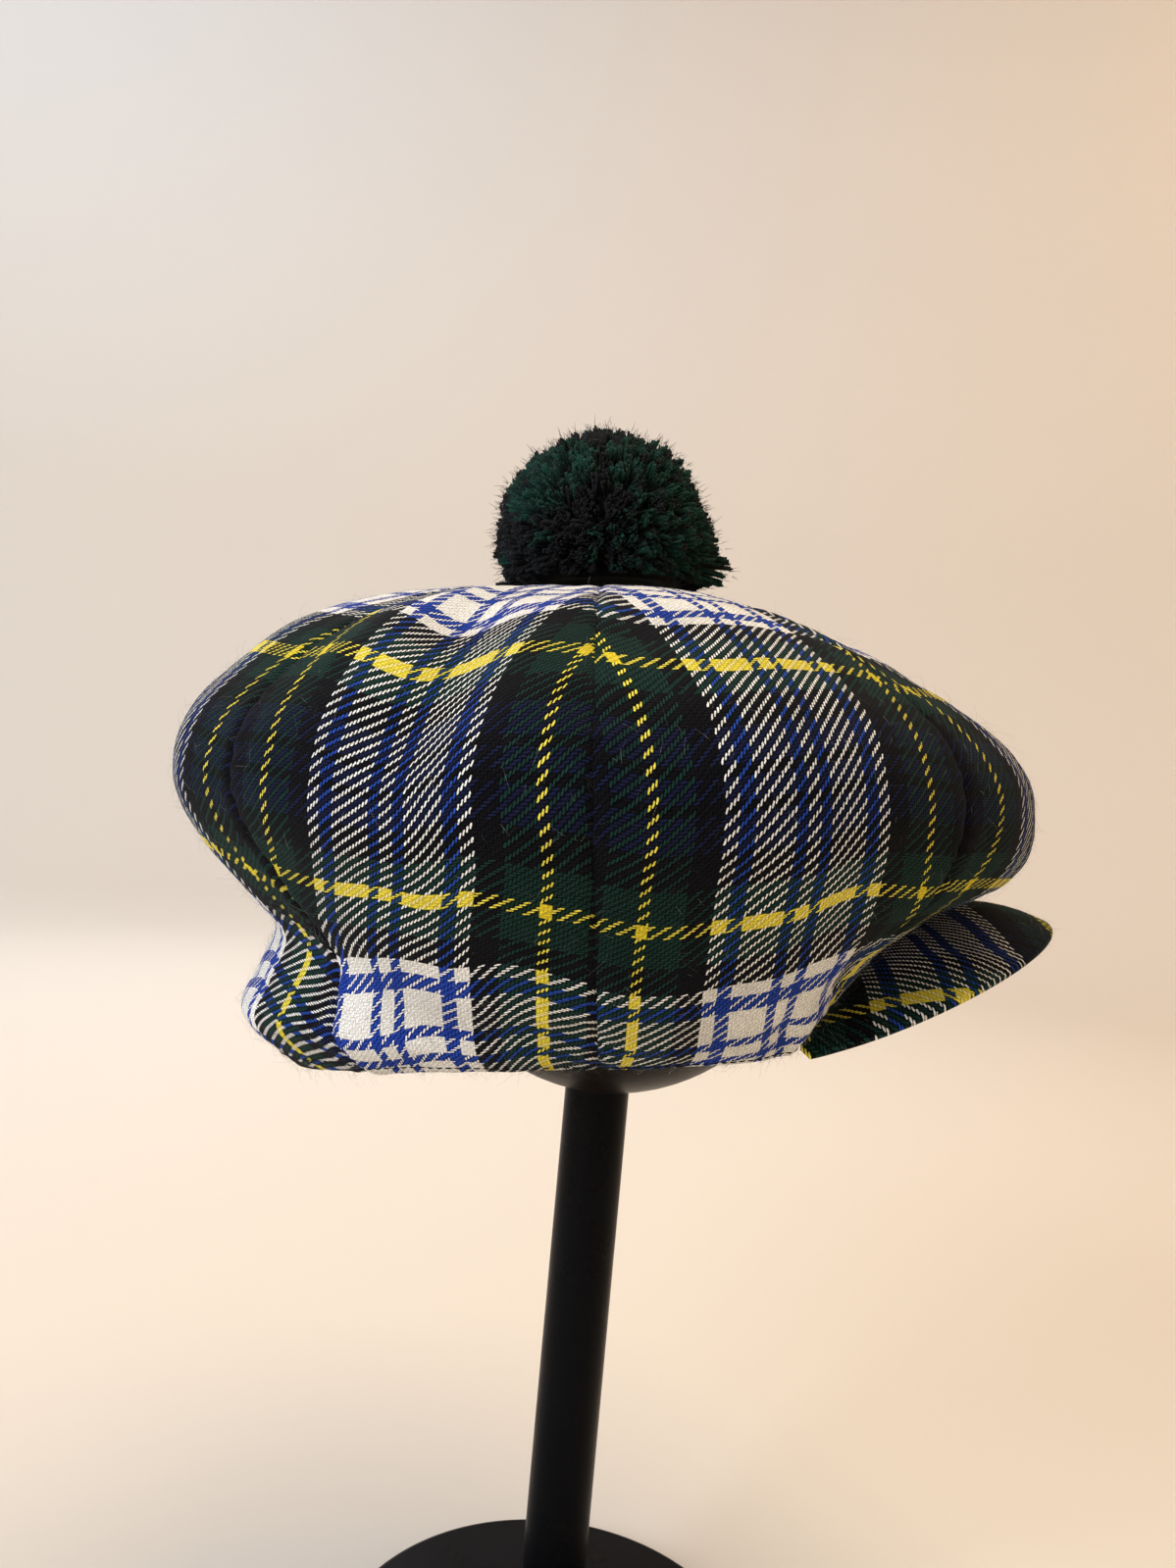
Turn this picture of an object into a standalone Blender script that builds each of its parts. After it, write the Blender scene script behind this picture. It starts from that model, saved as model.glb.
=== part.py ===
"""Tartan tam o shanter with a peak and a pompom, worn by a plain hat stand.

Units are metres and +Z is up. +X is the front of the cap, where its peak points,
and the origin is the middle of the stand's foot, on the table.

The cap is eight gores of one cloth. Each runs from the middle of the crown over
the rim, in under it to the neck and down to the hem. The cap sits on the stand's
round head, tipped back a little.
"""
import math
import random

import bmesh
import bpy
from mathutils import Matrix, Vector

# Stand
BASE_RADIUS = 0.0765
BASE_THICKNESS = 0.007
BASE_BEVEL = 0.0022
POLE_RADIUS = 0.0112
POLE_LENGTH = 0.202
HEAD_RADIUS = 0.075
HEAD_HEIGHT = 0.171
HEAD_FLAT_RIM = 0.002
HEAD_FLAT = POLE_RADIUS + HEAD_FLAT_RIM

# Cap
GORES = 8
CROWN_RADIUS = 0.140
CROWN_HEIGHT = 0.1463
CAP_TILT = math.radians(5.4)
CLOTH_WALL = 0.002
CENTRE_HOLE_RADIUS = 0.003
PEAK_HALF_ANGLE = math.radians(48.0)
ARCH_HALF_ANGLE = math.radians(51.0)
PEAK_LENGTH = 0.062
PEAK_THICKNESS = 0.003

# Pompom
POMPOM_RADIUS = 0.0385
POMPOM_HEIGHT = 0.055
POMPOM_STEM_RADIUS = 0.0022
POMPOM_LOCKS = 60
POMPOM_SEED = 11

# Core, root, tip and length of the pompom's locks, as shares of POMPOM_RADIUS. Lowest
# is how far down the lowest lock points.
CORE_SHARE = 0.86
LOCK_ROOT = 0.55
LOCK_ROOT_RADIUS = 0.24
LOCK_TIP_RADIUS = 0.14
LOCK_SHORTEST = 0.94
LOCK_LOWEST = -0.28

# Room between pieces that touch on the real thing
CLEARANCE = 0.0003

# Sections of the cap from the middle of the crown down to the hem. Reach is a share
# of CROWN_RADIUS and height a share of CROWN_HEIGHT above the hem's middle plane.
# Arch is the share that a section takes of the hem's rise over the peak, and puff
# the share it takes of each gore's roundness between its seams.
CAP_SECTION_COLUMNS = (
    "name", "front_reach", "front_height", "side_reach", "side_height",
    "back_reach", "back_height", "arch", "puff",
)
CAP_SECTIONS = (
    ("centre", 0.000, 1.000, 0.000, 1.000, 0.000, 1.000, 0.00, 0.0),
    ("inner crown", 0.200, 0.973, 0.200, 0.982, 0.200, 0.997, 0.00, 0.1),
    ("middle crown", 0.400, 0.912, 0.400, 0.944, 0.400, 0.984, 0.00, 0.3),
    ("outer crown", 0.613, 0.815, 0.614, 0.880, 0.600, 0.950, 0.00, 0.5),
    ("shoulder", 0.779, 0.712, 0.780, 0.790, 0.745, 0.898, 0.00, 0.8),
    ("upper rim", 0.902, 0.615, 0.903, 0.706, 0.868, 0.803, 0.00, 1.0),
    ("top of rim", 0.976, 0.532, 0.970, 0.625, 0.963, 0.708, 0.00, 1.0),
    ("rim", 0.993, 0.455, 0.997, 0.535, 1.000, 0.600, 0.00, 1.0),
    ("lower rim", 0.980, 0.376, 0.970, 0.446, 0.989, 0.519, 0.05, 1.0),
    ("under rim", 0.921, 0.275, 0.908, 0.353, 0.934, 0.424, 0.25, 0.8),
    ("underside", 0.821, 0.202, 0.835, 0.245, 0.850, 0.318, 0.50, 0.6),
    ("neck", 0.700, 0.121, 0.768, 0.140, 0.786, 0.240, 0.75, 0.4),
    ("band", 0.675, 0.072, 0.704, 0.078, 0.836, 0.130, 0.85, 0.3),
    ("lower band", 0.660, 0.026, 0.658, 0.034, 0.878, 0.030, 0.95, 0.2),
    ("hem", 0.650, -0.008, 0.607, -0.002, 0.760, -0.085, 1.00, 0.1),
)
ARCH_RISE = 0.198
ARCH_POWER = 0.8
PUFF = 0.018
SEAM_DEPTH = 0.007
SEAM_WIDTH = 0.020

# Dents and folds of the cloth. Azimuth and its reach are in degrees from the front,
# positive to the cap's left. Section and its reach count rows of the table above.
# Slant turns a fold, in degrees a row. Depth is a share of CROWN_RADIUS, out if positive.
CLOTH_FOLDS = (
    ("diagonal dent in the right back gore", -108.0, 5.4, 6.5, 1.9, -2.2, -0.036),
    ("valley above the dent", -112.0, 3.5, 7.0, 0.9, 0.0, -0.026),
    ("bulge behind the valley", -122.0, 3.9, 8.0, 1.0, 0.0, 0.018),
    ("bulge ahead of the valley", -99.0, 3.9, 7.0, 1.0, 0.0, 0.016),
    ("gather above the right end of the peak", -50.0, 10.6, 5.0, 1.0, 1.5, -0.024),
    ("gather above the left end of the peak", 50.0, 10.6, 5.0, 1.0, -1.5, -0.024),
    ("hollow over the right back of the neck", -140.0, 10.8, 12.0, 1.2, 0.0, -0.020),
    ("soft dent in the left side", 74.0, 5.6, 9.0, 1.8, 1.5, -0.020),
    ("soft dent in the left back", 128.0, 4.6, 9.0, 1.6, -1.5, -0.018),
)

# Form of the peak: lift, bulge and narrow ends are shares of PEAK_LENGTH. The plan
# power rounds its outline, and the edge power keeps the outer edge rounder than the
# hem's arch, so that the peak slopes down beside its ends.
PEAK_EDGE_LIFT = 0.06
PEAK_BULGE = 0.15
PEAK_END_SHARE = 0.06
PEAK_PLAN_POWER = 1.5
PEAK_EDGE_POWER = 1.6

# Faces of each cloth piece, of the pompom and round the stand
GORE_CELLS_ACROSS = 8
GORE_CELLS_ALONG = 20
SEAM_CROWDING = 1.5
PEAK_CELLS_ACROSS = 20
PEAK_CELLS_ALONG = 6
POMPOM_SIDES = 20
POMPOM_RINGS = 14
LOCK_SIDES = 5
STEM_SIDES = 12
BASE_SIDES = 64
POLE_SIDES = 32
HEAD_SIDES = 36
HEAD_RINGS = 16

# Steps round the cap at which its fit on the head and under the pompom is worked out
FIT_STEPS = 24


def column(name):
    """One column of the table of sections, from the crown's middle to the hem."""
    index = CAP_SECTION_COLUMNS.index(name)
    return [row[index] for row in CAP_SECTIONS]


SECTION = {name: column(name) for name in CAP_SECTION_COLUMNS[1:]}
HEM = float(len(CAP_SECTIONS) - 1)


def between_rows(values, station):
    """Catmull-Rom value of a column at a fractional row number."""
    last = len(values) - 1
    row = min(int(station), last - 1)
    step = station - row
    before = values[max(row - 1, 0)]
    start = values[row]
    end = values[row + 1]
    after = values[min(row + 2, last)]
    bend = 2.0 * before - 5.0 * start + 4.0 * end - after
    twist = 3.0 * start - before - 3.0 * end + after
    return start + 0.5 * step * (end - before + step * (bend + step * twist))


def turn_between(azimuth, middle):
    """Signed angle from one azimuth to another, in radians, the short way round."""
    return (azimuth - middle + math.pi) % (2.0 * math.pi) - math.pi


def arch_share(azimuth):
    """How far the hem rises over the peak: 1 at the front, 0 behind the peak's ends."""
    turn = min(abs(turn_between(azimuth, 0.0)) / ARCH_HALF_ANGLE, 1.0)
    return max(math.cos(0.5 * math.pi * turn), 0.0) ** ARCH_POWER


def plain_section(azimuth, station):
    """Reach and height of the cap's cloth before seams and folds are added."""
    ahead = max(math.cos(azimuth), 0.0) ** 2
    behind = max(-math.cos(azimuth), 0.0) ** 2
    beside = math.sin(azimuth) ** 2
    reach = (
        ahead * between_rows(SECTION["front_reach"], station)
        + beside * between_rows(SECTION["side_reach"], station)
        + behind * between_rows(SECTION["back_reach"], station)
    )
    height = (
        ahead * between_rows(SECTION["front_height"], station)
        + beside * between_rows(SECTION["side_height"], station)
        + behind * between_rows(SECTION["back_height"], station)
        + ARCH_RISE * arch_share(azimuth) * between_rows(SECTION["arch"], station)
    )
    room = CROWN_RADIUS - CENTRE_HOLE_RADIUS
    return CENTRE_HOLE_RADIUS + reach * room, height * CROWN_HEIGHT


def relief(azimuth, station):
    """How far the cloth stands out of its plain section: gores, seams and folds."""
    gore_angle = 2.0 * math.pi / GORES
    across = 2.0 * ((azimuth / gore_angle) % 1.0) - 1.0
    rounding = PUFF * between_rows(SECTION["puff"], station) * (1.0 - across * across)
    seam = max(0.0, 1.0 - (1.0 - abs(across)) / SEAM_WIDTH / 2.0)
    groove = SEAM_DEPTH * seam * min(station, 1.0)
    folds = 0.0
    for _name, middle, row, reach, rows, slant, depth in CLOTH_FOLDS:
        along = station - row
        aside = math.degrees(turn_between(azimuth, math.radians(middle))) - slant * along
        folds += depth * math.exp(-((aside / reach) ** 2) - (along / rows) ** 2)
    return (rounding - groove + folds) * CROWN_RADIUS


def cap_section(azimuth, station, out=0.0):
    """Reach and height of the finished cloth, with an extra distance outwards."""
    step = 0.05
    low = max(station - step, 0.0)
    high = min(station + step, HEM)
    reach_low, height_low = plain_section(azimuth, low)
    reach_high, height_high = plain_section(azimuth, high)
    along = Vector((reach_high - reach_low, height_high - height_low)).normalized()
    reach, height = plain_section(azimuth, station)
    distance = relief(azimuth, station) + out
    return reach - distance * along.y, height + distance * along.x


def cap_place(azimuth, reach, height, seat=0.0):
    """World point of a place in the cap's own tilted frame, raised by the seat."""
    forward = reach * math.cos(azimuth)
    left = reach * math.sin(azimuth)
    ahead = forward * math.cos(CAP_TILT) - height * math.sin(CAP_TILT)
    up = forward * math.sin(CAP_TILT) + height * math.cos(CAP_TILT)
    return Vector((ahead, left, up + seat))


def cap_point(azimuth, station, seat=0.0, out=0.0):
    """World point of the cap's outer cloth."""
    reach, height = cap_section(azimuth, station, out)
    return cap_place(azimuth, reach, height, seat)


def head_top_height(distance):
    """Height above the floor of the stand's head, at a distance from its axis."""
    middle = BASE_THICKNESS + POLE_LENGTH + 0.5 * HEAD_HEIGHT
    share = min(distance / HEAD_RADIUS, 1.0)
    return middle + 0.5 * HEAD_HEIGHT * math.sqrt(1.0 - share * share)


def cap_seat():
    """Height of the hem's middle at which the crown just clears the stand's head."""
    lift = 0.0
    crown_rows = 5
    for turn in range(FIT_STEPS):
        azimuth = 2.0 * math.pi * turn / FIT_STEPS
        for step in range(2 * crown_rows + 1):
            lining = cap_point(azimuth, 0.5 * step, out=-CLOTH_WALL)
            distance = math.hypot(lining.x, lining.y)
            if distance < HEAD_RADIUS:
                lift = max(lift, head_top_height(distance) - lining.z)
    return lift + CLEARANCE


def material(name, colour, roughness, metallic=0.0):
    """Principled material with one colour."""
    made = bpy.data.materials.new(name)
    made.use_nodes = True
    shader = made.node_tree.nodes["Principled BSDF"]
    shader.inputs["Base Color"].default_value = (*colour, 1.0)
    shader.inputs["Roughness"].default_value = roughness
    shader.inputs["Metallic"].default_value = metallic
    return made


def add_piece(name, mesh, finish, collection):
    """Object of a mesh, with its material, in a collection."""
    piece = bpy.data.objects.new(name, mesh)
    mesh.materials.append(finish)
    mesh.shade_smooth()
    mesh.set_sharp_from_angle(angle=math.radians(50.0))
    collection.objects.link(piece)
    return piece


def sheet_mesh(name, cells_across, cells_along, place):
    """Grid whose points are moved to place(across, along), each from -1 to 1."""
    sheet = bmesh.new()
    bmesh.ops.create_grid(sheet, x_segments=cells_across, y_segments=cells_along, size=1.0)
    for vertex in sheet.verts:
        vertex.co = place(vertex.co.x, vertex.co.y)
    mesh = bpy.data.meshes.new(name)
    sheet.to_mesh(mesh)
    sheet.free()
    return mesh


def thicken(piece, thickness, offset):
    """Give an open sheet its wall."""
    wall = piece.modifiers.new("wall", "SOLIDIFY")
    wall.thickness = thickness
    wall.offset = offset
    wall.use_even_offset = False
    return wall


def make_gore(number, seat, finish, collection):
    """One gore, from the crown's middle to the hem, between two seams."""
    half_angle = math.pi / GORES
    middle = (2 * number - 1) * half_angle

    def place(across, along):
        crowded = math.copysign(1.0 - (1.0 - abs(across)) ** SEAM_CROWDING, across)
        station = 0.5 * HEM * (1.0 - along)
        reach, _height = plain_section(middle, station)
        seam_inset = 0.5 * CLEARANCE / reach
        return cap_point(middle + crowded * (half_angle - seam_inset), station, seat)

    name = f"gore_{number}"
    mesh = sheet_mesh(name, GORE_CELLS_ACROSS, GORE_CELLS_ALONG, place)
    gore = add_piece(name, mesh, finish, collection)
    thicken(gore, CLOTH_WALL, -1.0)
    return gore


def peak_point(across, along, seat):
    """Point of the peak's middle sheet: across from end to end, along from the hem out.

    Its inner edge is tucked under the hem, low enough for the board to clear the cloth.
    """
    azimuth = across * PEAK_HALF_ANGLE
    hem_reach, hem_height = cap_section(azimuth, HEM)
    step = math.radians(0.5)
    _reach, height_ahead = cap_section(azimuth + step, HEM)
    _reach, height_behind = cap_section(azimuth - step, HEM)
    rise = (height_ahead - height_behind) / (2.0 * step * hem_reach)
    width = 1.0 - (1.0 - PEAK_END_SHARE) * abs(across) ** PEAK_PLAN_POWER
    slope = PEAK_EDGE_LIFT + 4.0 * PEAK_BULGE * width
    tuck = 0.5 * CLOTH_WALL
    half_board = 0.5 * PEAK_THICKNESS + CLEARANCE
    drop = half_board * math.sqrt(1.0 + rise * rise + slope * slope) + tuck * slope
    out = 0.5 * (1.0 + along)
    length = width * PEAK_LENGTH
    reach = hem_reach - tuck + out * length
    bulge = 4.0 * PEAK_BULGE * width * out * (1.0 - out)
    arch = arch_share(azimuth)
    droop = ARCH_RISE * CROWN_HEIGHT * (arch - arch ** PEAK_EDGE_POWER)
    height = hem_height - drop - out * droop + (PEAK_EDGE_LIFT * out + bulge) * length
    return cap_place(azimuth, reach, height, seat)


def make_peak(seat, finish, collection):
    """The stiff peak, arched from end to end and bulged along its length."""
    mesh = sheet_mesh(
        "peak", PEAK_CELLS_ACROSS, PEAK_CELLS_ALONG,
        lambda across, along: peak_point(-across, along, seat),
    )
    peak = add_piece("peak", mesh, finish, collection)
    thicken(peak, PEAK_THICKNESS, 0.0)
    return peak


def pompom_foot():
    """Height of the pompom's flat foot along the cap's axis, clear of the crown."""
    highest = 0.0
    for turn in range(FIT_STEPS):
        for step in range(8):
            _reach, height = cap_section(2.0 * math.pi * turn / FIT_STEPS, 0.25 * step)
            highest = max(highest, height)
    return highest + CLEARANCE


def lock_directions():
    """Unit vectors spread evenly over the pompom, apart from its foot."""
    golden = math.pi * (3.0 - math.sqrt(5.0))
    for index in range(POMPOM_LOCKS):
        up = 1.0 - (1.0 - LOCK_LOWEST) * (index + 0.5) / POMPOM_LOCKS
        level = math.sqrt(1.0 - up * up)
        yield Vector((level * math.cos(golden * index), level * math.sin(golden * index), up))


def cone_between(root, tip, root_radius, tip_radius, sides):
    """Bmesh of a closed tapered rod from one point to another."""
    rod = bmesh.new()
    turned = (tip - root).to_track_quat("Z", "Y").to_matrix().to_4x4()
    bmesh.ops.create_cone(
        rod, cap_ends=True, segments=sides, radius1=root_radius, radius2=tip_radius,
        depth=(tip - root).length, matrix=Matrix.Translation(0.5 * (tip + root)) @ turned,
    )
    return rod


def make_pompom(seat, finish, collection, cutters):
    """Cut-wool pompom: a round core flat underneath, with locks and a stem fused to it."""
    drop = POMPOM_HEIGHT - POMPOM_RADIUS
    upright = Matrix.Translation(cap_place(0.0, 0.0, pompom_foot() + drop, seat))
    upright = upright @ Matrix.Rotation(-CAP_TILT, 4, "Y")
    core = bmesh.new()
    core_radius = CORE_SHARE * POMPOM_RADIUS
    bmesh.ops.create_uvsphere(
        core, u_segments=POMPOM_SIDES, v_segments=POMPOM_RINGS, radius=core_radius,
    )
    for vertex in core.verts:
        vertex.co.z = max(vertex.co.z, -drop)
    core.transform(upright)
    mesh = bpy.data.meshes.new("pompom")
    core.to_mesh(mesh)
    core.free()
    pompom = add_piece("pompom", mesh, finish, collection)

    chance = random.Random(POMPOM_SEED)
    for index, direction in enumerate(lock_directions()):
        length = chance.uniform(LOCK_SHORTEST, 1.0)
        lock = cone_between(
            LOCK_ROOT * POMPOM_RADIUS * direction, length * POMPOM_RADIUS * direction,
            LOCK_ROOT_RADIUS * POMPOM_RADIUS, LOCK_TIP_RADIUS * POMPOM_RADIUS, LOCK_SIDES,
        )
        add_cutter(f"lock_{index:02d}", lock, upright, finish, cutters)
    stem = cone_between(
        Vector((0.0, 0.0, -drop - CLOTH_WALL)), Vector((0.0, 0.0, 0.0)),
        POMPOM_STEM_RADIUS, POMPOM_STEM_RADIUS, STEM_SIDES,
    )
    add_cutter("pompom_stem", stem, upright, finish, cutters)

    fuse = pompom.modifiers.new("locks", "BOOLEAN")
    fuse.operation = "UNION"
    fuse.operand_type = "COLLECTION"
    fuse.collection = cutters
    fuse.solver = "EXACT"
    return pompom


def add_cutter(name, shape, place, finish, cutters):
    """Hidden solid that a Boolean joins to a piece."""
    shape.transform(place)
    mesh = bpy.data.meshes.new(name)
    shape.to_mesh(mesh)
    shape.free()
    cutter = add_piece(name, mesh, finish, cutters)
    cutter.hide_render = True
    cutter.display_type = "WIRE"
    return cutter


def turned_piece(name, profile, steps, finish, collection):
    """Solid turned about Z from a profile that runs down its outer side."""
    outline = bmesh.new()
    points = [outline.verts.new((distance, 0.0, height)) for distance, height in profile]
    for upper, lower in zip(points, points[1:]):
        outline.edges.new((upper, lower))
    mesh = bpy.data.meshes.new(name)
    outline.to_mesh(mesh)
    outline.free()
    piece = add_piece(name, mesh, finish, collection)
    lathe = piece.modifiers.new("lathe", "SCREW")
    lathe.axis = "Z"
    lathe.steps = steps
    lathe.render_steps = steps
    lathe.use_merge_vertices = True
    lathe.merge_threshold = 0.0001
    lathe.use_smooth_shade = True
    return piece


def make_head(finish, collection):
    """Round head of the stand, with a flat underneath for the pole."""
    middle = BASE_THICKNESS + POLE_LENGTH + 0.5 * HEAD_HEIGHT
    last = math.pi - math.asin(HEAD_FLAT / HEAD_RADIUS)
    profile = []
    for ring in range(HEAD_RINGS + 1):
        angle = last * ring / HEAD_RINGS
        distance = HEAD_RADIUS * math.sin(angle)
        profile.append((distance, middle + 0.5 * HEAD_HEIGHT * math.cos(angle)))
    profile.append((0.0, profile[-1][1]))
    return turned_piece("stand_head", profile, HEAD_SIDES, finish, collection)


def make_pole(finish, collection):
    """Upright rod between the base and the head."""
    underside = BASE_THICKNESS + POLE_LENGTH
    underside += 0.5 * HEAD_HEIGHT * (1.0 - math.sqrt(1.0 - (HEAD_FLAT / HEAD_RADIUS) ** 2))
    low = BASE_THICKNESS + CLEARANCE
    high = underside - CLEARANCE
    bpy.ops.mesh.primitive_cylinder_add(
        vertices=POLE_SIDES, radius=POLE_RADIUS, depth=high - low,
        location=(0.0, 0.0, 0.5 * (low + high)),
    )
    return adopt_primitive("stand_pole", finish, collection)


def make_base(finish, collection):
    """Flat round foot with a bevelled rim."""
    bpy.ops.mesh.primitive_cylinder_add(
        vertices=BASE_SIDES, radius=BASE_RADIUS, depth=BASE_THICKNESS,
        location=(0.0, 0.0, 0.5 * BASE_THICKNESS),
    )
    base = adopt_primitive("stand_base", finish, collection)
    rim = base.modifiers.new("rim", "BEVEL")
    rim.width = BASE_BEVEL
    rim.segments = 2
    rim.limit_method = "ANGLE"
    return base


def adopt_primitive(name, finish, collection):
    """Name the new primitive, dress it and put it in the collection."""
    piece = bpy.context.active_object
    piece.name = name
    piece.data.name = name
    piece.data.materials.append(finish)
    piece.data.shade_smooth()
    piece.data.set_sharp_from_angle(angle=math.radians(40.0))
    for holder in list(piece.users_collection):
        holder.objects.unlink(piece)
    collection.objects.link(piece)
    return piece


def main():
    """Build the whole part."""
    for old in list(bpy.data.objects):
        bpy.data.objects.remove(old, do_unlink=True)
    collection = bpy.data.collections.new("tam_o_shanter")
    cutters = bpy.data.collections.new("tam_o_shanter_cutters")
    bpy.context.scene.collection.children.link(collection)
    bpy.context.scene.collection.children.link(cutters)

    satin = material("satin black metal", (0.012, 0.013, 0.016), 0.42)
    painted = material("painted head", (0.020, 0.017, 0.015), 0.45)
    cloth_dark = material("tartan wool, green ground", (0.016, 0.045, 0.050), 0.9)
    cloth_light = material("tartan wool, white ground", (0.35, 0.37, 0.38), 0.9)
    cloth_peak = material("tartan wool on the peak", (0.06, 0.10, 0.16), 0.9)
    yarn = material("cut wool yarn", (0.008, 0.030, 0.024), 0.95)

    make_base(satin, collection)
    make_pole(satin, collection)
    make_head(painted, collection)
    seat = cap_seat()
    for number in range(1, GORES + 1):
        make_gore(number, seat, cloth_dark if number % 2 else cloth_light, collection)
    make_peak(seat, cloth_peak, collection)
    make_pompom(seat, yarn, collection, cutters)


main()
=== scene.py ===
"""Looks of a tartan tam o shanter on a plain hat stand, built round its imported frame.

The cap is eight gores of one wool tartan, a stiff peak under the front of the hem, a
cut-wool pompom and a line of top-stitching. The stand is black satin metal with a
lacquered head. Lengths are metres, +Z is up and +X is the front of the cap.
"""
import logging
import math
import random
from collections.abc import Callable, Sequence
from dataclasses import dataclass
from enum import Enum

import bmesh
import bpy
import numpy as np
from mathutils import Matrix, Vector, noise


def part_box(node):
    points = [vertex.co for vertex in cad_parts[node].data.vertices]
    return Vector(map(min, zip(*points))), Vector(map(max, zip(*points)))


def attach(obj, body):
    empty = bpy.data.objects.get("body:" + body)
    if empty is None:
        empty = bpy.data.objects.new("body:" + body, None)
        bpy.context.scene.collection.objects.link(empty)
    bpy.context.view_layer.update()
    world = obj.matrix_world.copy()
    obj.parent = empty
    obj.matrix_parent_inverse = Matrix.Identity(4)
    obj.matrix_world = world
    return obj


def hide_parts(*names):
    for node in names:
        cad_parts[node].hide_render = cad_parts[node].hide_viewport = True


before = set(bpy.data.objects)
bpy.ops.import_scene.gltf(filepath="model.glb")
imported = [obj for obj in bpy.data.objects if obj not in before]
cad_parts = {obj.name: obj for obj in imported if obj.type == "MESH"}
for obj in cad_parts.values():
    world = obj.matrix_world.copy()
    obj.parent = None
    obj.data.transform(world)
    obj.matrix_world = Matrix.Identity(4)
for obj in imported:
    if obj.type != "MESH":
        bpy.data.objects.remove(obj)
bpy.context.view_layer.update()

log = logging.getLogger("tam_o_shanter")
MILLIMETRE = 0.001


class Slot(Enum):
    """The record's material slots."""

    WOOL = "tartan_wool"
    YARN = "pompom_yarn"
    LACQUER = "stand_head_lacquer"
    METAL = "stand_metal"


# Tools for nodes and meshes


def linear(colour: str) -> tuple[float, float, float, float]:
    """Turn an sRGB hex colour to linear light.

    Args:
        colour: The colour as "#RRGGBB".

    Returns:
        Red, green, blue and an alpha of 1.
    """
    shares = [int(colour[start:start + 2], 16) / 255.0 for start in (1, 3, 5)]
    light = [s / 12.92 if s <= 0.04045 else ((s + 0.055) / 1.055) ** 2.4 for s in shares]
    return (light[0], light[1], light[2], 1.0)


def add_node(
    tree: bpy.types.NodeTree, kind: str, settings: dict | None = None, inputs: dict | None = None,
) -> bpy.types.Node:
    """Add a shader node with its settings, constants and links.

    Args:
        tree: The material's node tree.
        kind: The node's type.
        settings: Properties of the node by name.
        inputs: Constants, or the sockets that feed it, by input name or number.

    Returns:
        The new node.
    """
    node = tree.nodes.new(kind)
    for name, value in (settings or {}).items():
        setattr(node, name, value)
    for key, value in (inputs or {}).items():
        if isinstance(value, bpy.types.NodeSocket):
            tree.links.new(value, node.inputs[key])
        else:
            node.inputs[key].default_value = value
    return node


def blank_material(name: str) -> tuple[bpy.types.Material, bpy.types.NodeTree, bpy.types.Node]:
    """Make a material that holds one Principled shader.

    Args:
        name: The material's name.

    Returns:
        The material, its node tree and its shader.
    """
    made = bpy.data.materials.new(name)
    made.use_nodes = True
    return made, made.node_tree, made.node_tree.nodes["Principled BSDF"]


def add_piece(name: str, mesh: bpy.types.Mesh, finish: bpy.types.Material) -> bpy.types.Object:
    """Put a mesh in the scene as a piece that rides with the whole object.

    Args:
        name: The piece's name.
        mesh: Its mesh, already in place.
        finish: Its material.

    Returns:
        The piece.
    """
    piece = bpy.data.objects.new(name, mesh)
    bpy.context.scene.collection.objects.link(piece)
    mesh.materials.append(finish)
    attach(piece, "root")
    log.info("%s: %d faces before modifiers", name, len(mesh.polygons))
    return piece


def mesh_of(shape: bmesh.types.BMesh, name: str) -> bpy.types.Mesh:
    """Turn a bmesh into a smooth mesh and free it.

    Args:
        shape: The bmesh.
        name: The mesh's name.

    Returns:
        The mesh.
    """
    mesh = bpy.data.meshes.new(name)
    shape.to_mesh(mesh)
    shape.free()
    mesh.shade_smooth()
    return mesh


def wire(tree: bpy.types.NodeTree, nets: dict[str, bpy.types.NodeSocket], rows: Sequence[tuple]) -> None:
    """Add a chain of nodes, each with one result.

    Args:
        tree: The material's node tree.
        nets: The results so far by name. The chain's own are added.
        rows: For each node the name of its result, its type after "ShaderNode", its
            operation or the way it mixes, and its inputs. A text names an earlier result.
    """
    for name, kind, way, inputs in rows:
        settings = {"operation": way}
        if kind == "Mix":
            settings = {"data_type": way} if way == "FLOAT" else {"data_type": "RGBA", "blend_type": way}
        found = {key: nets[value] if isinstance(value, str) else value for key, value in inputs.items()}
        outputs = add_node(tree, f"ShaderNode{kind}", settings, found).outputs
        nets[name] = outputs[2 if settings.get("data_type") == "RGBA" else 0]


def finish_shader(
    tree: bpy.types.NodeTree, shader: bpy.types.Node, colour: bpy.types.NodeSocket | None,
    height: bpy.types.NodeSocket, relief: float, strength: float, constants: dict,
) -> None:
    """Give a shader its colour, its fine relief and its constants.

    Args:
        tree: The material's node tree.
        shader: The shader.
        colour: What its colour comes from, or None if that is a constant.
        height: What its relief comes from.
        relief: Depth of the relief.
        strength: Share of the relief that shows.
        constants: Its constants by socket.
    """
    bump = add_node(
        tree, "ShaderNodeBump", inputs={"Height": height, "Distance": relief, "Strength": strength},
    )
    tree.links.new(bump.outputs[0], shader.inputs["Normal"])
    if colour is not None:
        tree.links.new(colour, shader.inputs["Base Color"])
    for name, value in constants.items():
        shader.inputs[name].default_value = value


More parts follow.
